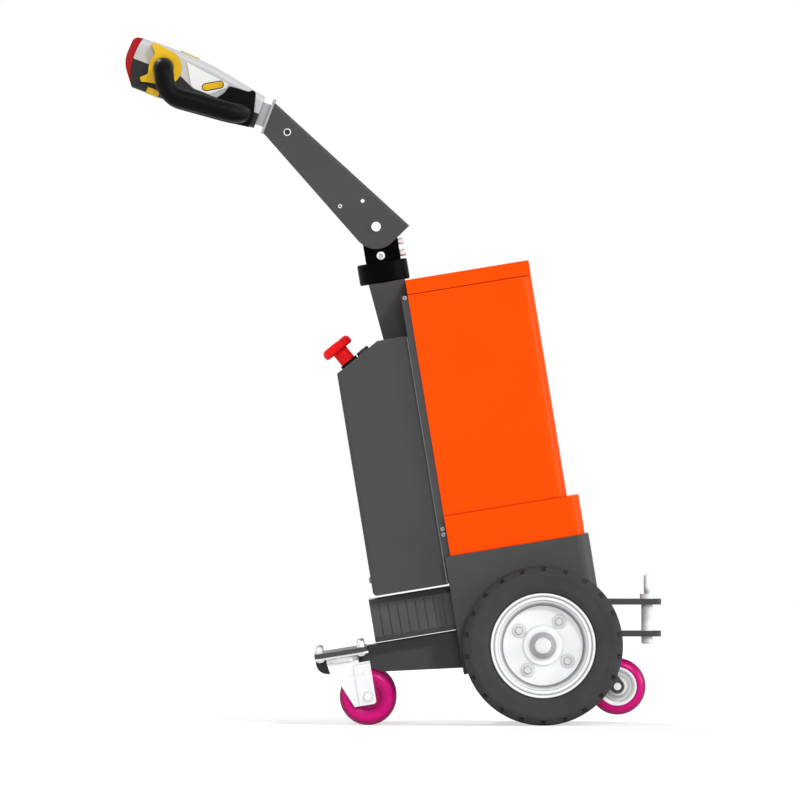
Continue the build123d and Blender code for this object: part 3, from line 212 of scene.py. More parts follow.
def fit(piece, material, body, slot, *nodes, crease=38):
    """Finish a piece: its material, smooth faces between real edges, its body and the nodes it stands for; slot is not
    used.
    """
    piece.data.materials.clear()
    piece.data.materials.append(material)
    piece.data.shade_smooth()
    piece.data.set_sharp_from_angle(angle=radians(crease))
    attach(piece, body)
    if nodes:
        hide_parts(*nodes)
    return piece


def node_group(name, sizes):
    """Empty node group for meshes, with named inputs; returns it with its inputs' identifiers, and its two ends."""
    group = bpy.data.node_groups.new(name, "GeometryNodeTree")
    group.interface.new_socket("Geometry", in_out="INPUT", socket_type="NodeSocketGeometry")
    keys = {}
    for label, kind in sizes:
        keys[label] = group.interface.new_socket(label, in_out="INPUT", socket_type=kind).identifier
    group.interface.new_socket("Geometry", in_out="OUTPUT", socket_type="NodeSocketGeometry")
    return group, keys, add_node(group, "NodeGroupInput").outputs, add_node(group, "NodeGroupOutput").inputs


def close_group(group, given, geometry, end):
    """Last two nodes of every group: instances made real, then the material."""
    real = add_node(group, "GeometryNodeRealizeInstances", {"Geometry": geometry})
    painted = add_node(
        group, "GeometryNodeSetMaterial", {"Geometry": real.outputs["Geometry"], "Material": given["Material"]}
    )
    group.links.new(painted.outputs["Geometry"], end["Geometry"])


def run_group(piece, group, keys, **values):
    """Run a node group on a piece and keep the result as its plain mesh."""
    modifier = piece.modifiers.new(group.name, "NODES")
    modifier.node_group = group
    for label, value in values.items():
        modifier[keys[label]] = value
    ready = piece.evaluated_get(bpy.context.evaluated_depsgraph_get())
    result = bpy.data.meshes.new_from_object(ready)
    piece.modifiers.clear()
    piece.data = result
    return piece


tyre_group, tyre_keys, given, end = node_group(
    "lugs_round_a_tyre", (("Lug", "NodeSocketObject"), ("Lugs", "NodeSocketInt"), ("Material", "NodeSocketMaterial"))
)
spots = add_node(tyre_group, "GeometryNodeMeshLine", {"Count": given["Lugs"], "Offset": (0, 0, 0)})
share = add_node(tyre_group, "ShaderNodeMath", {0: 2 * pi, 1: given["Lugs"]}, operation="DIVIDE")
turn = add_node(
    tyre_group,
    "ShaderNodeMath",
    {0: add_node(tyre_group, "GeometryNodeInputIndex").outputs[0], 1: share.outputs[0]},
    operation="MULTIPLY",
)
spin = add_node(tyre_group, "FunctionNodeAxisAngleToRotation", {"Axis": (0, 1, 0), "Angle": turn.outputs[0]})
lug_shape = add_node(tyre_group, "GeometryNodeObjectInfo", {"Object": given["Lug"]})
set_round = add_node(
    tyre_group,
    "GeometryNodeInstanceOnPoints",
    {"Points": spots.outputs["Mesh"], "Instance": lug_shape.outputs["Geometry"], "Rotation": spin.outputs[0]},
)
both = add_node(tyre_group, "GeometryNodeJoinGeometry")
tyre_group.links.new(given["Geometry"], both.inputs[0])
tyre_group.links.new(set_round.outputs["Instances"], both.inputs[0])
close_group(tyre_group, given, both.outputs[0], end)

# Half section of the carcass, from the bead to the crown, with a moulded ring under the lugs
CARCASS = [
    (33.0, 90.0), (33.2, 92.6), (37.5, 94.0), (38.5, 97.5), (41.0, 100.5), (41.9, 106.0), (41.9, 119.0), (42.5, 121.0),
    (42.5, 125.0), (41.6, 127.5), (40.5, 130.6), (20.0, 131.2), (19.4, 139.4), (17.5, 140.0),
]
# Section of one shoulder lug, from its foot in the carcass over the shoulder and down the sidewall
LUG = [(18.8, 129.0), (18.8, 139.5), (20.5, 139.9), (31.0, 137.6), (34.5, 136.2), (42.3, 127.2), (40.8, 127.0)]


def shoulder_lugs():
    """One lug on each shoulder of the tyre, as a single template."""
    mesh = bmesh.new()
    half_arc = pi / LUGS - LUG_GAP / 2 / TYRE_RADIUS
    section = rounded(LUG, LUG_EASE, 2)
    steps = 6
    for face in (1, -1):
        rows = []
        for step in range(steps + 1):
            turn_by = half_arc * (2 * step / steps - 1)
            rows.append([mesh.verts.new((r * cos(turn_by), face * x, r * sin(turn_by))) for x, r in section])
        count = len(rows[0])
        for one, two in zip(rows, rows[1:]):
            for i in range(count):
                mesh.faces.new((one[i], one[(i + 1) % count], two[(i + 1) % count], two[i]))
        mesh.faces.new(rows[0])
        mesh.faces.new(rows[-1])
    bmesh.ops.recalc_face_normals(mesh, faces=mesh.faces)
    ends = [e for e in mesh.edges if len(e.link_faces) == 2 and e.calc_face_angle(0) > radians(50)]
    bmesh.ops.bevel(mesh, geom=ends, offset=LUG_BEVEL, segments=2, affect="EDGES", clamp_overlap=True)
    mesh.transform(Matrix.Scale(MM, 4))
    data = bpy.data.meshes.new("shoulder_lug")
    mesh.to_mesh(data)
    mesh.free()
    return bpy.data.objects.new("shoulder_lug", data)


tyre_rubber = surface(
    "tyre_rubber", (0.054, 0.054, 0.055), 0.85, spread=0.10, patch=22.0, grain=950.0, relief=0.02, edge=0.8,
    **{"Specular IOR Level": 0.06},
)
# Rim finish with painted shade in its corners and round the bolts and hub.
rim_zinc = surface(
    "rim_zinc", (0.91, 0.92, 0.93), 0.30, spread=0.02, patch=20.0, grain=1500.0, relief=0.002, edge=0.6,
    painted_corner_shade=(5.0, 0.8), **{"Specular IOR Level": 0.12},
)


def paint_ring_light_and_shade(material, centre, stops):
    """Paint shade, and light where a tone is over 1, into a turned piece's finish in rings round its axle: stops are
    (millimetres from its axle, tone).
    """
    tree = material.node_tree
    face = tree.nodes["Principled BSDF"]
    place = tree.nodes["Texture Coordinate"].outputs["Object"]
    arm = add_node(tree, "ShaderNodeVectorMath", {0: place, 1: centre}, operation="SUBTRACT")
    flat = add_node(tree, "ShaderNodeVectorMath", {0: arm.outputs[0], 1: (1, 0, 1)}, operation="MULTIPLY")
    reach = add_node(tree, "ShaderNodeVectorMath", {0: flat.outputs[0]}, operation="LENGTH")
    limit = stops[-1][0]
    share = add_node(tree, "ShaderNodeMapRange", {"Value": reach.outputs["Value"], "From Max": limit * MM})
    ramp = add_node(tree, "ShaderNodeValToRGB", {"Fac": share.outputs["Result"]})
    shades = ramp.color_ramp.elements
    shades[0].color, shades[1].color = [stops[0][1]] * 3 + [1], [stops[-1][1]] * 3 + [1]
    for radius, tone in stops[1:-1]:
        shades.new(radius / limit).color = [tone] * 3 + [1]
    unshaded = face.inputs["Base Color"].links[0].from_socket
    ring_shaded = add_node(
        tree, "ShaderNodeMix", {0: 1.0, 6: unshaded, 7: ramp.outputs["Color"]}, data_type="RGBA", blend_type="MULTIPLY"
    )
    tree.links.new(ring_shaded.outputs[2], face.inputs["Base Color"])


# Painted shade on the rim: dark across the dished wall of its well and in two rings on the rolled lip.
paint_ring_light_and_shade(
    rim_zinc,
    AXLE,
    (
        (0, 1), (69.2, 1), (70.4, 0.16), (73.0, 0.36), (77.6, 0.92), (78.8, 0.4), (80.0, 1), (84.2, 1), (85.4, 0.35),
        (86.6, 0.45), (87.6, 1), (93.0, 1),
    ),
)
lug_template = shoulder_lugs()


def both_faces(half):
    """Whole outline of a wheel from its half on one face; a point in the middle plane isn't mirrored."""
    return half + [(-across, radius) for across, radius in reversed(half) if across > 1e-6]


for side, outward in SIDES:
    tyre = make_object(f"tyre_{side}", turned(rounded(both_faces(CARCASS), CARCASS_EASE, 3), TYRE_STEPS))
    run_group(tyre, tyre_group, tyre_keys, Lug=lug_template, Lugs=LUGS, Material=tyre_rubber)
    tyre.data.transform(Matrix.Translation(AXLE + LEFT * outward * WHEEL_ACROSS * MM))
    fit(tyre, tyre_rubber, f"drive_wheel_{side}", "tyre_rubber", f"drive_tyre_{side}")
bpy.data.objects.remove(lug_template)

# Pressed rim: from the hub's bore round the inner face, then over the rolled lip and back down the dished face
RIM = [
    (-42.5, 13.0), (-42.5, 34.0), (7.0, 34.0), (7.0, 74.5), (-33.0, 84.0), (-36.5, 86.0), (-37.0, 92.0), (-33.0, 92.0),
    (-33.0, 90.0), (33.0, 90.0), (33.0, 92.0), (37.0, 92.0), (38.6, 90.6), (38.2, 88.4), (35.4, 87.0), (35.2, 84.4),
    (36.6, 82.8), (36.2, 80.4), (33.6, 79.0), (32.6, 76.0), (14.6, 70.6), (13.0, 68.2), (13.0, 36.4), (14.0, 34.9),
    (17.0, 34.3), (17.2, 25.8), (18.4, 24.7), (21.0, 24.0), (21.0, 17.0), (19.6, 15.8), (19.6, 15.0), (13.3, 14.0),
    (13.3, 13.0),
]
HUB_CAP = [
    (13.5, 0.0), (13.5, 14.9), (33.0, 14.9), (34.4, 14.6), (36.0, 13.6), (37.3, 12.2), (38.3, 9.6), (38.8, 6.4),
    (39.0, 3.0), (39.0, 0.0),
]
# Cap finish with painted shade in its corners.
chrome = surface(
    "chromed_cap", (0.80, 0.81, 0.83), 0.12, spread=0.02, relief=0.001, edge=0.5, painted_corner_shade=(5.0, 0.7), Metallic=0.4
)
seal_steel = surface(
    "seal_steel", (0.42, 0.41, 0.45), 0.3, spread=0.06, relief=0.002, edge=0.4, **{"Specular IOR Level": 0.15}
)
HUB_SEAL = [(20.0, 15.2), (32.0, 15.2), (31.6, 16.4), (21.6, 23.6), (20.0, 23.6)]


def ring_solid(rings, count=24):
    """Closed solid about the z axis through rings of (height, radius, six-sided), in millimetres."""
    mesh = bmesh.new()
    rows = []
    for height, radius, six_sided in rings:
        row = []
        for step in range(count):
            turn_by = 2 * pi * step / count
            flat = cos(pi / 6) / cos(turn_by % (pi / 3) - pi / 6) if six_sided else 1.0
            row.append(mesh.verts.new((radius * flat * cos(turn_by), radius * flat * sin(turn_by), height)))
        rows.append(row)
    for low, high in zip(rows, rows[1:]):
        for step in range(count):
            after = (step + 1) % count
            mesh.faces.new((low[step], low[after], high[after], high[step]))
    mesh.faces.new(rows[0][::-1])
    mesh.faces.new(rows[-1])
    return mesh


fastener_group, fastener_keys, given, end = node_group(
    "fasteners_on_points",
    (("Fastener", "NodeSocketObject"), ("Size", "NodeSocketFloat"), ("Material", "NodeSocketMaterial")),
)
facing = add_node(fastener_group, "GeometryNodeInputNamedAttribute", {"Name": "facing"}, data_type="FLOAT_VECTOR")
twist = add_node(fastener_group, "GeometryNodeInputNamedAttribute", {"Name": "twist"}, data_type="FLOAT")
square = add_node(
    fastener_group, "FunctionNodeAlignRotationToVector", {"Vector": facing.outputs["Attribute"]}, axis="Z"
)
screwed = add_node(
    fastener_group, "FunctionNodeAxisAngleToRotation", {"Axis": (0, 0, 1), "Angle": twist.outputs["Attribute"]}
)
seated = add_node(
    fastener_group,
    "FunctionNodeRotateRotation",
    {"Rotation": square.outputs[0], "Rotate By": screwed.outputs[0]},
    rotation_space="LOCAL",
)
head_shape = add_node(fastener_group, "GeometryNodeObjectInfo", {"Object": given["Fastener"]})
placed = add_node(
    fastener_group,
    "GeometryNodeInstanceOnPoints",
    {
        "Points": given["Geometry"],
        "Instance": head_shape.outputs["Geometry"],
        "Rotation": seated.outputs[0],
        "Scale": given["Size"],
    },
)
close_group(fastener_group, given, placed.outputs["Instances"], end)

# Bolt with its washer, as rings of (height, radius, six-sided) for a size of 1, which is its width across corners
HEX_BOLT = (
    (-0.02, 0.88, 0), (0.12, 0.88, 0), (0.14, 0.86, 0), (0.14, 0.5, 1), (0.42, 0.5, 1), (0.50, 0.42, 0),
    (0.50, 0.30, 0), (0.47, 0.28, 0),
)


def fasteners(name, rings, size, spots, material, body, slot):
    """Like fasteners on their seats: spots are (point, outward direction, twist in degrees), size is in millimetres."""
    template = bpy.data.objects.new(f"{name}_shape", bpy.data.meshes.new(f"{name}_shape"))
    shape = ring_solid(rings)
    shape.to_mesh(template.data)
    shape.free()
    seats = bpy.data.meshes.new(name)
    seats.from_pydata([spot[0] for spot in spots], [], [])
    seats.attributes.new("facing", "FLOAT_VECTOR", "POINT")
    seats.attributes.new("twist", "FLOAT", "POINT")
    for i, (point, outwards, degrees) in enumerate(spots):
        seats.attributes["facing"].data[i].vector = outwards
        seats.attributes["twist"].data[i].value = radians(degrees)
    piece = bpy.data.objects.new(name, seats)
    bpy.context.scene.collection.objects.link(piece)
    run_group(piece, fastener_group, fastener_keys, Fastener=template, Size=size * MM, Material=material)
    bpy.data.objects.remove(template)
    return fit(piece, material, body, slot, crease=25)


# Bolt finish with painted shade round each head and washer.
bolt_zinc = surface(
    "bolt_zinc", (0.73, 0.735, 0.745), 0.30, spread=0.03, relief=0.002, edge=0.4, painted_corner_shade=(4.0, 0.9),
    **{"Specular IOR Level": 0.3},
)
# Rim bolts as (along, up, twist) from the axle
RIM_BOLTS = ((28, 42, 10), (-42, 26, 35), (-27, -43, 50), (43, -27, 20))
RIM_BOLT_SIZE = 13.0
DISC_FACE = 13.0
RIM_EASE = 1.6
SEAL_EASE = 0.6
HUB_STEPS = 64
for side, outward in SIDES:
    hub = AXLE + LEFT * outward * WHEEL_ACROSS * MM
    place = Matrix.Translation(hub) @ Matrix.Diagonal((1, outward, 1, 1))
    rim = make_object(f"rim_{side}", turned(rounded(RIM, RIM_EASE, 3)), place)
    cap = make_object(f"hub_cap_{side}", turned(HUB_CAP, HUB_STEPS), place)
    seal = make_object(f"hub_seal_{side}", turned(rounded(HUB_SEAL, SEAL_EASE, 2), HUB_STEPS), place)
    fit(rim, rim_zinc, f"drive_wheel_{side}", "zinc", f"drive_rim_{side}")
    fit(cap, chrome, f"drive_wheel_{side}", "zinc")
    fit(seal, seal_steel, f"drive_wheel_{side}", "zinc")
    fasteners(
        f"rim_bolts_{side}",
        HEX_BOLT,
        RIM_BOLT_SIZE,
        [(hub + Vector((x, outward * DISC_FACE, z)) * MM, LEFT * outward, twist) for x, z, twist in RIM_BOLTS],
        bolt_zinc,
        f"drive_wheel_{side}",
        "zinc",
    )

# Battery housing: skirt, tall cover and capped lid, folded from sheet steel and sprayed gloss orange.
# Cap screws through the mast plate's edges hold the cover and the skirt.
# Painted shade darkens the joints under the lid and at the cover's steps.
gloss_orange = surface(
    "gloss_orange", (0.98, 0.074, 0.001), 0.32, spread=0.025, patch=9.0, grain=420.0, relief=0.004, edge=1.2,
    painted_corner_shade=(5.0, 0.75), **{"Specular IOR Level": 0.06},
)
dress(gloss_orange, "battery_skirt", "battery_cover", "battery_lid")
# Duller plating with painted shade in its corners.
dull_zinc = surface(
    "dull_zinc", (0.40, 0.40, 0.41), 0.34, spread=0.04, patch=40.0, relief=0.004, edge=0.6, painted_corner_shade=(5.0, 0.7),
    Metallic=0.15,
)
LEAN = radians(9.3)
ALONG = Vector((cos(LEAN), 0, sin(LEAN)))
UP = Vector((-sin(LEAN), 0, cos(LEAN)))


def body_point(along, up, across=0.0):
    """Point of the leaning body, from millimetres along it, up it and across it, all from the drive axle."""
    return AXLE + (ALONG * along + UP * up + LEFT * across) * MM


CAP_SCREW = (
    (-0.02, 0.5, 0), (0.24, 0.5, 0), (0.34, 0.45, 0), (0.38, 0.36, 0), (0.38, 0.28, 0), (0.38, 0.27, 1), (0.16, 0.26, 1)
)
PLATE_MIDDLE = -140.4
PLATE_EDGE = 170.0
COVER_SCREWS_UP = (639.0, 229.0, 219.0)
COVER_SCREW_SIZE = 7.5
fasteners(
    "cover_screws",
    CAP_SCREW,
    COVER_SCREW_SIZE,
    [
        (body_point(PLATE_MIDDLE, up, outward * PLATE_EDGE), LEFT * outward, 15)
        for up in COVER_SCREWS_UP
        for side, outward in SIDES
    ],
    dull_zinc,
    "chassis",
    "zinc",
)

# Battery pack: moulded black battery cases strapped into one block.
# It stands loose on the chassis deck, and the cover hides it.
battery_case = surface("battery_case", (0.03, 0.03, 0.03), 0.5, grain=600.0, relief=0.03)
dress(battery_case, "battery_pack")

# Mast: plate and gusset head welded together and coated with the chassis.
# Weld beads run up both sides of the head where it meets the plate.
dress(grey_coat, "mast")
bead_group, bead_keys, given, end = node_group(
    "weld_bead_on_a_path",
    (("Bead", "NodeSocketFloat"), ("Pitch", "NodeSocketFloat"), ("Material", "NodeSocketMaterial")),
)
DROP_SQUASH = (0.62, 1, 1)
path = add_node(bead_group, "GeometryNodeMeshToCurve", {"Mesh": given["Geometry"]})
drops = add_node(
    bead_group, "GeometryNodeResampleCurve", {"Curve": path.outputs["Curve"], "Length": given["Pitch"]}, mode="LENGTH"
)
run = add_node(
    bead_group,
    "FunctionNodeAlignRotationToVector",
    {"Vector": add_node(bead_group, "GeometryNodeInputTangent").outputs[0]},
    axis="X",
)
drop = add_node(bead_group, "GeometryNodeMeshUVSphere", {"Segments": 8, "Rings": 5, "Radius": given["Bead"]})
laid = add_node(
    bead_group,
    "GeometryNodeInstanceOnPoints",
    {
        "Points": drops.outputs["Curve"],
        "Instance": drop.outputs["Mesh"],
        "Rotation": run.outputs[0],
        "Scale": DROP_SQUASH,
    },
)
close_group(bead_group, given, laid.outputs["Instances"], end)
DROP_PITCH = 1.1


def weld(name, runs, bead, material, body, slot):
    """Weld beads along straight runs, each a list of points; bead is its radius in millimetres."""
    seam = bpy.data.meshes.new(name)
    points, edges = [], []
    for line in runs:
        start = len(points)
        points += line
        edges += [(start + i, start + i + 1) for i in range(len(line) - 1)]
    seam.from_pydata(points, edges, [])
    piece = bpy.data.objects.new(name, seam)
    bpy.context.scene.collection.objects.link(piece)
    run_group(piece, bead_group, bead_keys, Bead=bead * MM, Pitch=DROP_PITCH * bead * MM, Material=material)
    return fit(piece, material, body, slot, crease=180)


MAST_BACK = -146.4
BOX_TOP = 573.0
PLATE_TOP = 643.0
MAST_HEAD_HALF = 40.0
MAST_BEAD = 1.8
WELD_INSET = 2.0
weld(
    "mast_welds",
    [
        [body_point(MAST_BACK, up, outward * MAST_HEAD_HALF) for up in (BOX_TOP + WELD_INSET, PLATE_TOP - WELD_INSET)]
        for side, outward in SIDES
    ],
    MAST_BEAD,
    grey_coat,
    "chassis",
    "chassis_grey",
)

# Control box: folded cover over the electronics, textured dark grey, with a slanted switch panel.
# Button screws hold it near the foot of its back face. A foam strip closes the joint with the chassis, and a pale bead
# of sealant runs up both flanks where they meet the mast plate, its pale tone painting the highlight along the box's
# edges.
# Its lightened edges are rubbed wear and also a painted highlight along the box's edges.
box_coat = surface(
    "box_coat", (0.060, 0.060, 0.061), 0.55, relief=0.02, grain=800.0, edge=1.8, edge_wear_and_highlight=((0.26, 0.265, 0.275), 0.8),
    **{"Specular IOR Level": 0.2},
)
dress(box_coat, "control_box")
BOX_BACK = -279.0
BOX_FLANK = 160.0
BOX_SCREWS_UP = 160.0
BOX_SCREWS_ACROSS = 142.0
BOX_SCREW_SIZE = 9.0
fasteners(
    "box_screws",
    CAP_SCREW,
    BOX_SCREW_SIZE,
    [(body_point(BOX_BACK, BOX_SCREWS_UP, outward * BOX_SCREWS_ACROSS), -ALONG, 5) for side, outward in SIDES],
    dull_zinc,
    "chassis",
    "zinc",
)
STRIP_MIDDLE = -145.45
STRIP_THICK = 1.8
STRIP_LOW, STRIP_HIGH = 133.0, 179.5
STRIP_WIDTH = 312.0
STRIP_EASE = 0.4
foam = surface(
    "foam_strip", (0.16, 0.16, 0.162), 0.9, spread=0.08, grain=900.0, relief=0.05, **{"Specular IOR Level": 0.1}
)


def band(rows, capped=False):
    """Closed ring through rows of points, the last row joined to the first, or a solid capped at both ends."""
    mesh = bmesh.new()
    rings = [[mesh.verts.new(point) for point in row] for row in rows]
    for one, two in zip(rings, rings[1:] if capped else rings[1:] + rings[:1]):
        for i in range(len(one)):
            after = (i + 1) % len(one)
            mesh.faces.new((one[i], one[after], two[after], two[i]))
    if capped:
        mesh.faces.new(rings[0])
        mesh.faces.new(rings[-1])
    bmesh.ops.recalc_face_normals(mesh, faces=mesh.faces)
    return mesh


def bar(thick, width, low, high, ease):
    """Straight strip standing along z between two heights, with eased edges and ends, in millimetres."""
    rows = []
    for trim, height in ((ease, low), (0, low + ease), (0, high - ease), (ease, high)):
        x, y = thick / 2 - trim, width / 2 - trim
        rows.append([(*corner, height) for corner in rounded([(-x, -y), (x, -y), (x, y), (-x, y)], ease, 3)])
    return band(rows, capped=True)


def upright(along, across):
    """Place on the leaning body for a strip that runs up it."""
    return Matrix.Translation(body_point(along, 0, across)) @ Matrix((ALONG, LEFT, UP)).transposed().to_4x4()


foam_strip = bar(STRIP_THICK, STRIP_WIDTH, STRIP_LOW, STRIP_HIGH, STRIP_EASE)
fit(make_object("box_foam_strip", foam_strip, upright(STRIP_MIDDLE, 0)), foam, "chassis", "black_plastic")
SEALANT_WIDTH = 1.8
SEALANT_LOW, SEALANT_HIGH = 134.0, 571.0
SEALANT_EASE = 0.5
# Pale bead: sealant in the joint, whose pale tone is a painted highlight along the box's edges.
sealant_and_highlight = surface("sealant_and_highlight", (0.27, 0.28, 0.30), 0.5, spread=0.08, patch=30.0, relief=0.03, edge=0.5)
for side, outward in SIDES:
    bead_place = upright(MAST_BACK - SEALANT_WIDTH / 2, outward * (BOX_FLANK + SEALANT_WIDTH / 3))
    bead = bar(SEALANT_WIDTH, SEALANT_WIDTH, SEALANT_LOW, SEALANT_HIGH, SEALANT_EASE)
    fit(make_object(f"box_seal_{side}", bead, bead_place), sealant_and_highlight, "chassis", "dark_plastic")

# Emergency stop and key switch on the slanted panel: red mushroom knob in a black base ring, grey key boss.
# Both are moulded and held by ring nuts behind the panel, and the key boss has its slot in the middle.
PANEL_RUN, PANEL_RISE = 79.0, 45.5
SLANT = (ALONG * PANEL_RUN + UP * PANEL_RISE).normalized()
PANEL_OUT = SLANT.cross(LEFT)
PANEL_FOOT = body_point(BOX_BACK, BOX_TOP - PANEL_RISE)
KEY_FROM_BACK = 60.0
KEY_SLOT_LENGTH, KEY_SLOT_WIDTH = 8.0, 2.2
KEY_SLOT_LOW, KEY_SLOT_HIGH = 5.8, 6.4
KEY_SLOT_EASE = 0.15
black_moulding = surface(
    "black_moulding", (0.0016, 0.0016, 0.0016), 0.42, spread=0.12, relief=0.02, **{"Specular IOR Level": 0.025}
)
red_moulding = surface(
    "red_moulding", (0.92, 0.012, 0.014), 0.38, spread=0.05, relief=0.004, edge=0.8, **{"Specular IOR Level": 0.06}
)
dress(black_moulding, "emergency_stop_base")
dress(red_moulding, "emergency_stop_knob")
dress(box_coat, "key_switch")
key_slot = bar(KEY_SLOT_LENGTH, KEY_SLOT_WIDTH, KEY_SLOT_LOW, KEY_SLOT_HIGH, KEY_SLOT_EASE)
turn_to = Matrix((SLANT, LEFT, PANEL_OUT)).transposed().to_4x4()
key_place = Matrix.Translation(PANEL_FOOT + SLANT * KEY_FROM_BACK * MM) @ turn_to
fit(make_object("key_slot", key_slot, key_place), black_moulding, "chassis", "black_plastic")

# Charger: extruded aluminium case with upright fins on both flanks, anodised dark grey.
# It is fixed to the chassis back, under the control box.
charger_case = surface(
    "charger_case", (0.088, 0.088, 0.089), 0.42, relief=0.006, grain=900.0, edge=0.8, edge_wear_and_highlight=((0.24, 0.24, 0.245), 0.7),
    **{"Specular IOR Level": 0.2},
)
dress(charger_case, "charger")

# Caster frame: a channel folded from steel sheet as stem, with the cross plate over the casters.
# The stem is welded to the chassis back along its top and both flanges, and coated with the chassis.
dress(grey_coat, "caster_frame")
CHASSIS_BACK = -144.5
STEM_TOP = 48.0
STEM_DEPTH = 63.0
STEM_HALF = 80.0
STEM_BEAD = 2.2
stem_corners = [body_point(CHASSIS_BACK, STEM_TOP, across) for across in (-STEM_HALF, STEM_HALF)]
weld(
    "stem_welds",
    [[corner - UP * STEM_DEPTH * MM, corner] for corner in stem_corners] + [stem_corners],
    STEM_BEAD,
    grey_coat,
    "chassis",
    "chassis_grey",
)

# Swivel casters: pressed and zinc-plated plate and fork, cast magenta polyurethane wheel on a bolt.
# Four bolts with nuts on top hold each plate under the cross plate.
CASTER_ALONG = -350.5
CASTER_ACROSS = 190.0
CASTER_SEAT = 40.0
CASTER_BOLTS = ((-38, -31), (-38, 31), (35, -31), (35, 31))
HEX_NUT = ((-0.02, 0.5, 1), (0.72, 0.5, 1), (0.80, 0.43, 0), (0.80, 0.30, 0), (0.86, 0.28, 0))
ROUND_HEAD = ((-0.02, 0.5, 0), (0.06, 0.5, 0), (0.16, 0.44, 0), (0.24, 0.32, 0), (0.28, 0.16, 0))
CASTER_NUT_SIZE = 13.5
CASTER_HEAD_SIZE = 14.0
CROSS_PLATE = 8.0
CASTER_PLATE = 3.5
WHEEL_STEPS = 96
# Plated finish with painted shade in folds and round bolts and nuts.
bright_zinc = surface(
    "bright_zinc", (0.85, 0.86, 0.87), 0.30, spread=0.025, patch=30.0, grain=1500.0, relief=0.003, edge=0.6,
    painted_corner_shade=(4.0, 0.6), Metallic=0.15,
)


def cast_tread(name, wheel, stops):
    """Magenta polyurethane for one kind of wheel, with painted shade at its running edge and round its hub, and a
    painted highlight where a stop is over 1.
    """
    material = surface(
        name, (0.62, 0.004, 0.185), 0.28, spread=0.04, patch=12.0, grain=500.0, relief=0.004, edge=0.8,
        **{"Specular IOR Level": 0.16},
    )
    low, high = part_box(wheel)
    paint_ring_light_and_shade(material, (low + high) / 2, stops)
    return material


# Caster tread: painted highlight round the middle of the tread, painted shade towards its edge and round the hub.
caster_cast = cast_tread(
    "caster_cast", "caster_wheel_right", ((0, 0.5), (22, 0.5), (31, 0.9), (36, 1.05), (41, 0.9), (46, 0.6), (50, 0.3))
)
# Half section of the wheel: hub, dished web and a quarter round of tread
TREAD_ROUND = 16.0
TREAD_FOOT = 34.0
ARC_STEPS = 10
ROLLER_EASE = 1.2
quarter = [pi / 2 * step / ARC_STEPS for step in range(ARC_STEPS + 1)]
tread_arc = [(TREAD_ROUND * cos(turn_by), TREAD_FOOT + TREAD_ROUND * sin(turn_by)) for turn_by in quarter]
caster_half = [(18, 6.3), (18, 19.4), (17.2, 20.6), (13.2, 24.0), (14.6, 28.5)] + tread_arc
for side, outward in SIDES:
    dress(bright_zinc, f"caster_plate_{side}", f"caster_fork_{side}", f"caster_axle_{side}")
    seats = [
        body_point(CASTER_ALONG + along, CASTER_SEAT, outward * CASTER_ACROSS + across)
        for along, across in CASTER_BOLTS
    ]
    fasteners(
        f"caster_nuts_{side}",
        HEX_NUT,
        CASTER_NUT_SIZE,
        [(seat + UP * CROSS_PLATE * MM, UP, 17 * i) for i, seat in enumerate(seats)],
        bright_zinc,
        "chassis",
        "zinc",
    )
    fasteners(
        f"caster_bolt_heads_{side}",
        ROUND_HEAD,
        CASTER_HEAD_SIZE,
        [(seat - UP * CASTER_PLATE * MM, -UP, 0) for seat in seats],
        bright_zinc,
        "chassis",
        "zinc",
    )
    low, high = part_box(f"caster_wheel_{side}")
    wheel_place = Matrix.Translation((low + high) / 2)
    roller = turned(rounded(both_faces(caster_half), ROLLER_EASE, 2), WHEEL_STEPS)
    wheel = make_object(f"roller_{side}", roller, wheel_place)
    fit(wheel, caster_cast, f"caster_roller_{side}", "wheel_magenta", f"caster_wheel_{side}")

# Front anti-tip wheel: moulded nylon hub with a magenta polyurethane tread cast on it.
# It turns on a plated axle between two lugs, which are welded to the chassis and coated with it.
# Hub finish with painted shade in its corners and recesses.
pale_nylon = surface("pale_nylon", (0.86, 0.87, 0.88), 0.38, spread=0.02, relief=0.008, painted_corner_shade=(8.0, 0.7))
TIP_FLAT = 1.0
TIP_TREAD_EASE = 0.6
TIP_HUB_EASE = 0.9
tip_half = [(TIP_FLAT + across, radius) for across, radius in tread_arc]
TIP_HUB = [(21, 6.8), (21, 15.6), (20.2, 17), (12.0, 20), (12, 26.6), (17.0, 30), (17, 34)]
low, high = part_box("tip_wheel_tread")
tip_middle = (low + high) / 2
tip_place = Matrix.Translation(tip_middle)
# Painted shade in rings across the walls of the hub's recess.
paint_ring_light_and_shade(
    pale_nylon,
    tip_middle,
    ((0, 1), (15.4, 1), (16.8, 0.45), (19.5, 0.6), (24.0, 0.9), (26.2, 0.55), (27.6, 1), (34, 1)),
)
tread_shape = turned(rounded(both_faces(tip_half), TIP_TREAD_EASE, 2), WHEEL_STEPS)
hub_shape = turned(rounded(both_faces(TIP_HUB), TIP_HUB_EASE, 2), WHEEL_STEPS)
tip_tread = make_object("tip_tread", tread_shape, tip_place)
tip_hub = make_object("tip_hub", hub_shape, tip_place)
# Anti-tip tread: painted shade towards its running edge and next to the hub.
tip_cast = cast_tread(
    "tip_cast", "tip_wheel_tread", ((0, 0.6), (34, 0.6), (38, 1.0), (42, 1.0), (46.5, 0.65), (50, 0.3))
)
fit(tip_tread, tip_cast, "tip_wheel", "wheel_magenta", "tip_wheel_tread")
fit(tip_hub, pale_nylon, "tip_wheel", "hub_white", "tip_wheel_hub")
dress(grey_coat, "tip_wheel_fork")
dress(bright_zinc, "tip_wheel_axle")

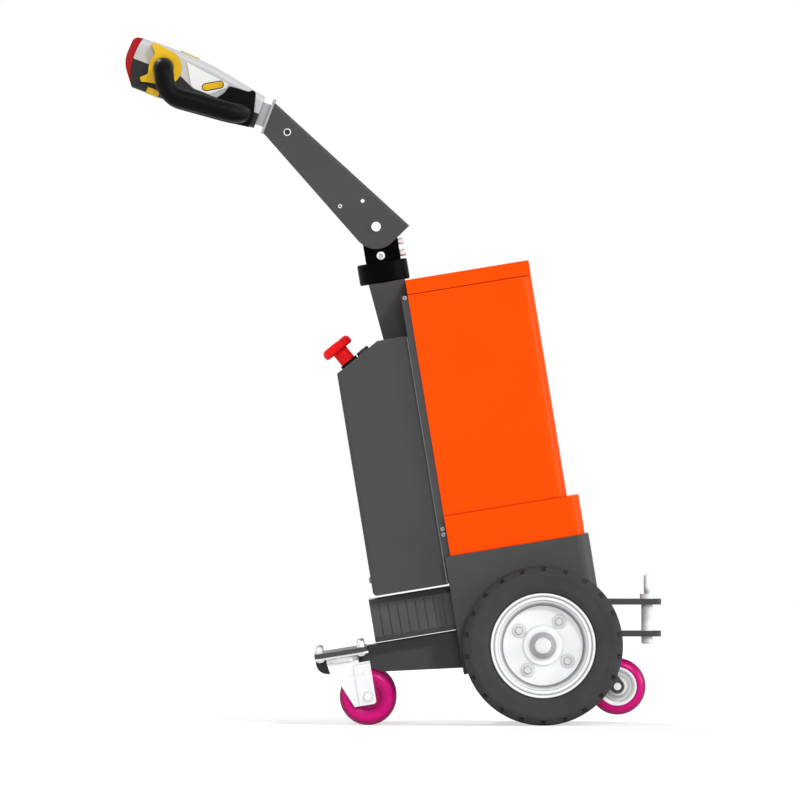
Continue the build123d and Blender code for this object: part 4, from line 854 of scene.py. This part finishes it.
# Tow jaw: two flame-cut steel plates welded to a back plate, coated grey and fixed to the chassis front.
# A turned and plated drop pin goes through both plates, and its pull ring stands on top.
dress(grey_coat, "tow_jaw")
pin_zinc = surface(
    "pin_zinc", (0.88, 0.89, 0.90), 0.40, spread=0.02, patch=50.0, grain=1500.0, relief=0.002, edge=0.6, Metallic=0.05
)
dress(pin_zinc, "tow_pin", "pull_ring")

# Tiller base: moulded black swivel collar on the mast's head, with a satin black steel bracket turning on it.
# Plated clamp bolts hold the bracket, one in each side and four in its front.
satin_black = surface(
    "satin_black", (0.0014, 0.0014, 0.0014), 0.36, spread=0.1, relief=0.006, **{"Specular IOR Level": 0.02}
)
dress(black_moulding, "swivel_collar")
dress(satin_black, "tiller_bracket")
PIVOT_ALONG = -169.7
PIVOT_UP = 772.0
BRACKET_FACE = 25.0
BRACKET_FRONT = 34.0
SIDE_BOLT_DROP = 52.0
SIDE_BOLT_SIZE = 15.0
FRONT_BOLT_ACROSS = 13.0
# Front bolts as (name, drop below the pivot, size)
FRONT_BOLTS = (("bracket_upper_bolts", 31.5, 11.0), ("bracket_lower_bolts", 52.0, 12.5))
fasteners(
    "bracket_side_bolts",
    CAP_SCREW,
    SIDE_BOLT_SIZE,
    [
        (body_point(PIVOT_ALONG, PIVOT_UP - SIDE_BOLT_DROP, outward * BRACKET_FACE), LEFT * outward, 10)
        for side, outward in SIDES
    ],
    bright_zinc,
    "tiller_swivel",
    "zinc",
)
for name, drop_by, size in FRONT_BOLTS:
    fasteners(
        name,
        HEX_NUT,
        size,
        [
            (body_point(PIVOT_ALONG + BRACKET_FRONT, PIVOT_UP - drop_by, outward * FRONT_BOLT_ACROSS), ALONG, 8)
            for side, outward in SIDES
        ],
        bright_zinc,
        "tiller_swivel",
        "zinc",
    )

# Tiller arm: tapered channel folded from sheet steel and coated grey, on a plated pivot bolt.
# Each flank has a blind rivet and a cable eyelet, closed by a rubber plug.
dress(grey_coat, "tiller_arm")
dress(bright_zinc, "tiller_pivot_bolt")
ARM_DROP = radians(45.5)
PIVOT = body_point(PIVOT_ALONG, PIVOT_UP)
ARM_BACK = Vector((cos(ARM_DROP), 0, -sin(ARM_DROP)))
ARM_UP = Vector((sin(ARM_DROP), 0, cos(ARM_DROP)))
ARM_FACE = 30.0
ARM_LENGTH = 273.0
BLIND_RIVET = ((-0.30, 0.3, 0), (-0.02, 0.5, 0), (0.06, 0.5, 0), (0.18, 0.42, 0), (0.18, 0.25, 0), (-0.2, 0.22, 0))
ARM_RIVET_SIZE = 7.4
ARM_RIVET_AT = (-70, -20)
EYELET_AT = (-228, 5)
EYELET_STEPS = 40
EYELET_EASE = 0.5


def arm_point(back, up, across):
    """Point of the tiller arm from its pivot, in millimetres back towards the tail, up and across."""
    return PIVOT + (ARM_BACK * back + ARM_UP * up + LEFT * across) * MM


fasteners(
    "arm_rivets",
    BLIND_RIVET,
    ARM_RIVET_SIZE,
    [(arm_point(*ARM_RIVET_AT, outward * ARM_FACE), LEFT * outward, 0) for side, outward in SIDES],
    bright_zinc,
    "tiller",
    "zinc",
)
EYELET = [(-0.9, 4.8), (1.0, 4.8), (1.3, 5.1), (1.3, 6.1), (0.7, 6.7), (-0.3, 6.7), (-0.3, 5.8), (-0.9, 5.8)]
EYELET_PLUG = [(-0.7, 0), (-0.7, 5.1), (0.3, 5.1), (0.6, 4.2), (0.5, 2.2), (0.1, 1.5), (0.0, 0)]
rubber_plug = surface("rubber_plug", (0.035, 0.035, 0.036), 0.6, relief=0.02, edge=0.3, **{"Specular IOR Level": 0.1})
for side, outward in SIDES:
    place = Matrix.Translation(arm_point(*EYELET_AT, outward * ARM_FACE)) @ Matrix.Diagonal((1, outward, 1, 1))
    eyelet = make_object(f"cable_eyelet_{side}", turned(rounded(EYELET, EYELET_EASE, 2), EYELET_STEPS), place)
    fit(eyelet, bright_zinc, "tiller", "zinc")
    plug = make_object(f"eyelet_plug_{side}", turned(EYELET_PLUG, EYELET_STEPS), place)
    fit(plug, rubber_plug, "tiller", "dark_plastic")

# Tiller head: silver upper shell over a dark lower shell, both moulded and screwed together from below.
# They sit on a plated neck, whose flange is welded to the arm. The raised flank panels are a paler insert.
HEAD_DROP = radians(20.9)
HEAD_BACK = Vector((cos(HEAD_DROP), 0, -sin(HEAD_DROP)))
HEAD_UP = Vector((sin(HEAD_DROP), 0, cos(HEAD_DROP)))
HEAD = PIVOT - ARM_BACK * ARM_LENGTH * MM
INSERT_FROM = 44.6
INSERT_TONE = (0.84, 0.85, 0.86, 1)
# Shell finish with painted shade along the raised panels' edges and in corners.
silver_moulding = surface(
    "silver_moulding", (0.56, 0.57, 0.58), 0.32, spread=0.02, relief=0.006, edge=0.8, painted_corner_shade=(3.0, 0.7),
    **{"Specular IOR Level": 0.3},
)
tree = silver_moulding.node_tree
face = tree.nodes["Principled BSDF"]
place = add_node(tree, "ShaderNodeSeparateXYZ", {0: tree.nodes["Texture Coordinate"].outputs["Object"]})
out = add_node(tree, "ShaderNodeMath", {0: place.outputs["Y"]}, operation="ABSOLUTE")
on_insert = add_node(tree, "ShaderNodeMath", {0: out.outputs[0], 1: INSERT_FROM * MM}, operation="GREATER_THAN")
shell_tone = face.inputs["Base Color"].links[0].from_socket
two_tone = add_node(tree, "ShaderNodeMix", {0: on_insert.outputs[0], 6: shell_tone, 7: INSERT_TONE}, data_type="RGBA")
tree.links.new(two_tone.outputs[2], face.inputs["Base Color"])
dark_moulding = surface(
    "dark_moulding", (0.025, 0.025, 0.026), 0.5, spread=0.08, relief=0.02, **{"Specular IOR Level": 0.2}
)
dress(dull_zinc, "head_flange")
dress(silver_moulding, "head_upper_shell")
dress(dark_moulding, "head_lower_shell")
button_red = surface(
    "button_red", (0.40, 0.012, 0.013), 0.30, spread=0.05, relief=0.004, edge=0.8, **{"Specular IOR Level": 0.14}
)
dress(button_red, "belly_button")


def head_point(back, up, across):
    """Point of the tiller head from its flange, in millimetres back towards the arm, up and across."""
    return HEAD + (HEAD_BACK * back + HEAD_UP * up + LEFT * across) * MM


FLANGE_BACK = 5.0
FLANGE_BEAD = 1.6
FLANGE_RUN = (-29.0, 24.0)
weld(
    "flange_welds",
    [[head_point(FLANGE_BACK, up, outward * ARM_FACE) for up in FLANGE_RUN] for side, outward in SIDES],
    FLANGE_BEAD,
    grey_coat,
    "tiller",
    "chassis_grey",
)

# Loop grips, thumb levers and push buttons: the grips are soft black rubber over a steel loop fixed in the shells.
# Levers and buttons are moulded yellow, and a dark bezel is snapped in round each flank button.
# Painted shade in the levers' and buttons' corners.
yellow_moulding = surface(
    "yellow_moulding", (0.76, 0.455, 0.016), 0.28, spread=0.10, patch=45.0, relief=0.006, edge=1.2, painted_corner_shade=(6.0, 0.6),
    **{"Specular IOR Level": 0.25},
)
grip_rubber = surface(
    "grip_rubber", (0.003, 0.003, 0.003), 0.46, spread=0.1, relief=0.012, grain=1100.0, **{"Specular IOR Level": 0.07}
)
dress(grip_rubber, "grip_left", "grip_right")
dress(yellow_moulding, "thumb_lever_left", "thumb_lever_right", "head_buttons")
HEAD_FLANK = 44.0
BUTTON_AHEAD = 108.0
BUTTON_UP = 15.0
BUTTON_TURN = radians(31)
BUTTON_LENGTH = 36.0
BUTTON_WIDTH = 11.0
# Section of the bezel as (growth over the button, height)
BEZEL = ((0.1, -0.3), (0.1, 1.5), (0.5, 1.9), (1.2, 1.9), (1.6, 1.4), (1.6, -0.3))


def stadium(length, width, height, steps=12):
    """Points of a slot-shaped outline lying at a height."""
    reach, radius = (length - width) / 2, width / 2
    turns = [pi * step / steps - pi / 2 for step in range(steps + 1)]
    right = [(reach + radius * cos(turn_by), radius * sin(turn_by), height) for turn_by in turns]
    return right + [(-x, -y, z) for x, y, z in right]


for side, outward in SIDES:
    along_button = HEAD_BACK * cos(BUTTON_TURN) + HEAD_UP * sin(BUTTON_TURN)
    across_button = HEAD_UP * cos(BUTTON_TURN) - HEAD_BACK * sin(BUTTON_TURN)
    turn_to = Matrix((along_button, across_button, LEFT * outward)).transposed().to_4x4()
    place = Matrix.Translation(head_point(-BUTTON_AHEAD, BUTTON_UP, outward * HEAD_FLANK)) @ turn_to
    rows = [stadium(BUTTON_LENGTH + 2 * grow, BUTTON_WIDTH + 2 * grow, height) for grow, height in BEZEL]
    fit(make_object(f"button_bezel_{side}", band(rows), place), dark_moulding, "tiller", "dark_plastic")

# Crown button: yellow moulded push button let into the top of the head.
# From the side only its low rounded cap shows over the crown.
CROWN_AHEAD = 165.0
CROWN_UP = 51.0
CROWN_SLOPE = 0.038
# Section of the cap as (trim of its outline, height)
CROWN_CAP = ((0, -1.0), (0, 1.4), (0.4, 2.0), (1.2, 2.4))
crown_out = (HEAD_UP + HEAD_BACK * CROWN_SLOPE).normalized()
turn_to = Matrix((LEFT.cross(crown_out), LEFT, crown_out)).transposed().to_4x4()
crown_rows = [stadium(BUTTON_LENGTH - 2 * trim, BUTTON_WIDTH - 2 * trim, height) for trim, height in CROWN_CAP]
crown_place = Matrix.Translation(head_point(-CROWN_AHEAD, CROWN_UP, 0)) @ turn_to
crown_button = make_object("crown_button", band(crown_rows, capped=True), crown_place)
fit(crown_button, yellow_moulding, "tiller", "yellow_plastic")

# Case screws: four plated cap screws, driven from below through the lower shell into the upper one.
# Each row of the table is (ahead of the flange, up, slope of the foot there).
CASE_SCREWS = ((168, -37.5, 0.0), (72, -32.0, 0.07))
CASE_SCREWS_ACROSS = 22.0
CASE_SCREW_SIZE = 7.0
fasteners(
    "case_screws",
    CAP_SCREW,
    CASE_SCREW_SIZE,
    [
        (head_point(-ahead, up, outward * CASE_SCREWS_ACROSS), (HEAD_BACK * slope - HEAD_UP).normalized(), 20)
        for ahead, up, slope in CASE_SCREWS
        for side, outward in SIDES
    ],
    bright_zinc,
    "tiller",
    "zinc",
)

# Studio: a plain pale floor in white surroundings, which the camera and glossy pieces see at full white.
# Their light on the machine is low, and soft suns add to it, so that colours render about as written.
AMBIENT = 0.18
FLOOR_LIFT = 0.47
FLOOR_REACH = 20000.0
FLOOR_TONE = (0.86, 0.86, 0.86, 1)


def seen_directly(tree):
    """Socket that is 1 for camera, glossy and transmission rays, and 0 for the rays that light the machine."""
    rays = add_node(tree, "ShaderNodeLightPath").outputs
    seen = add_node(tree, "ShaderNodeMath", {0: rays["Is Camera Ray"], 1: rays["Is Glossy Ray"]}, operation="MAXIMUM")
    return add_node(
        tree, "ShaderNodeMath", {0: seen.outputs[0], 1: rays["Is Transmission Ray"]}, operation="MAXIMUM"
    ).outputs[0]


floor_mesh = bmesh.new()
bmesh.ops.create_grid(floor_mesh, x_segments=1, y_segments=1, size=FLOOR_REACH)
floor = make_object("floor", floor_mesh)
floor_paint = bpy.data.materials.new("floor_paint")
floor_paint.use_nodes = True
tree = floor_paint.node_tree
tree.nodes.clear()
matt = add_node(tree, "ShaderNodeBsdfDiffuse", {"Color": FLOOR_TONE})
lift = add_node(tree, "ShaderNodeMath", {0: seen_directly(tree), 1: FLOOR_LIFT}, operation="MULTIPLY")
glow = add_node(tree, "ShaderNodeEmission", {"Color": (1, 1, 1, 1), "Strength": lift.outputs[0]})
mixed = add_node(tree, "ShaderNodeAddShader", {0: matt.outputs[0], 1: glow.outputs[0]})
add_node(tree, "ShaderNodeOutputMaterial", {"Surface": mixed.outputs[0]})
floor.data.materials.append(floor_paint)

world = bpy.data.worlds.new("white_studio")
bpy.context.scene.world = world
world.use_nodes = True
tree = world.node_tree
tree.nodes.clear()
level = add_node(tree, "ShaderNodeMapRange", {"Value": seen_directly(tree), "To Min": AMBIENT, "To Max": 1.0})
sky = add_node(tree, "ShaderNodeBackground", {"Color": (1, 1, 1, 1), "Strength": level.outputs["Result"]})
add_node(tree, "ShaderNodeOutputWorld", {"Surface": sky.outputs[0]})

# Suns as (name, direction they shine from, strength, softness in degrees, whether glossy pieces mirror them)
SUNS = (
    ("right_fill_sun", (0.05, -1.0, 0.1), 1.0, 10, False),
    ("left_fill_sun", (-0.05, 1.0, 0.1), 1.15, 10, False),
    ("right_key_sun", (0.35, -0.85, 0.6), 1.05, 8, True),
    ("left_key_sun", (-0.35, 0.85, 0.6), 1.05, 8, True),
    ("jaw_end_sun", (1.0, -0.3, 0.3), 1.5, 26, True),
    ("handle_end_sun", (-1.0, -0.2, 0.2), 0.9, 26, False),
)
for name, origin, strength, softness, mirrored in SUNS:
    lamp = bpy.data.lights.new(name, "SUN")
    lamp.energy = strength
    lamp.angle = radians(softness)
    sun = bpy.data.objects.new(name, lamp)
    sun.rotation_euler = Vector(origin).to_track_quat("Z", "Y").to_euler()
    sun.visible_glossy = mirrored
    bpy.context.scene.collection.objects.link(sun)

# Camera: far off with a long lens and level with the middle of the machine, because the photo is a straight side
# view. The frame's width is what the photo shows across at the machine's middle plane, in metres.
FRAME_WIDTH = 1.408
VIEW_X, VIEW_Z = 0.0119, 0.5695
LENS = 1000.0
SENSOR = 36.0
CLIP_END = 200.0
lens = bpy.data.cameras.new("side_camera")
lens.lens = LENS
lens.sensor_width = SENSOR
lens.clip_end = CLIP_END
camera = bpy.data.objects.new("side_camera", lens)
camera.location = (VIEW_X, -FRAME_WIDTH * LENS / SENSOR, VIEW_Z)
camera.rotation_euler = (pi / 2, 0, 0)
bpy.context.scene.collection.objects.link(camera)
bpy.context.scene.camera = camera
bpy.context.scene.view_settings.view_transform = "Standard"

bpy.context.view_layer.update()
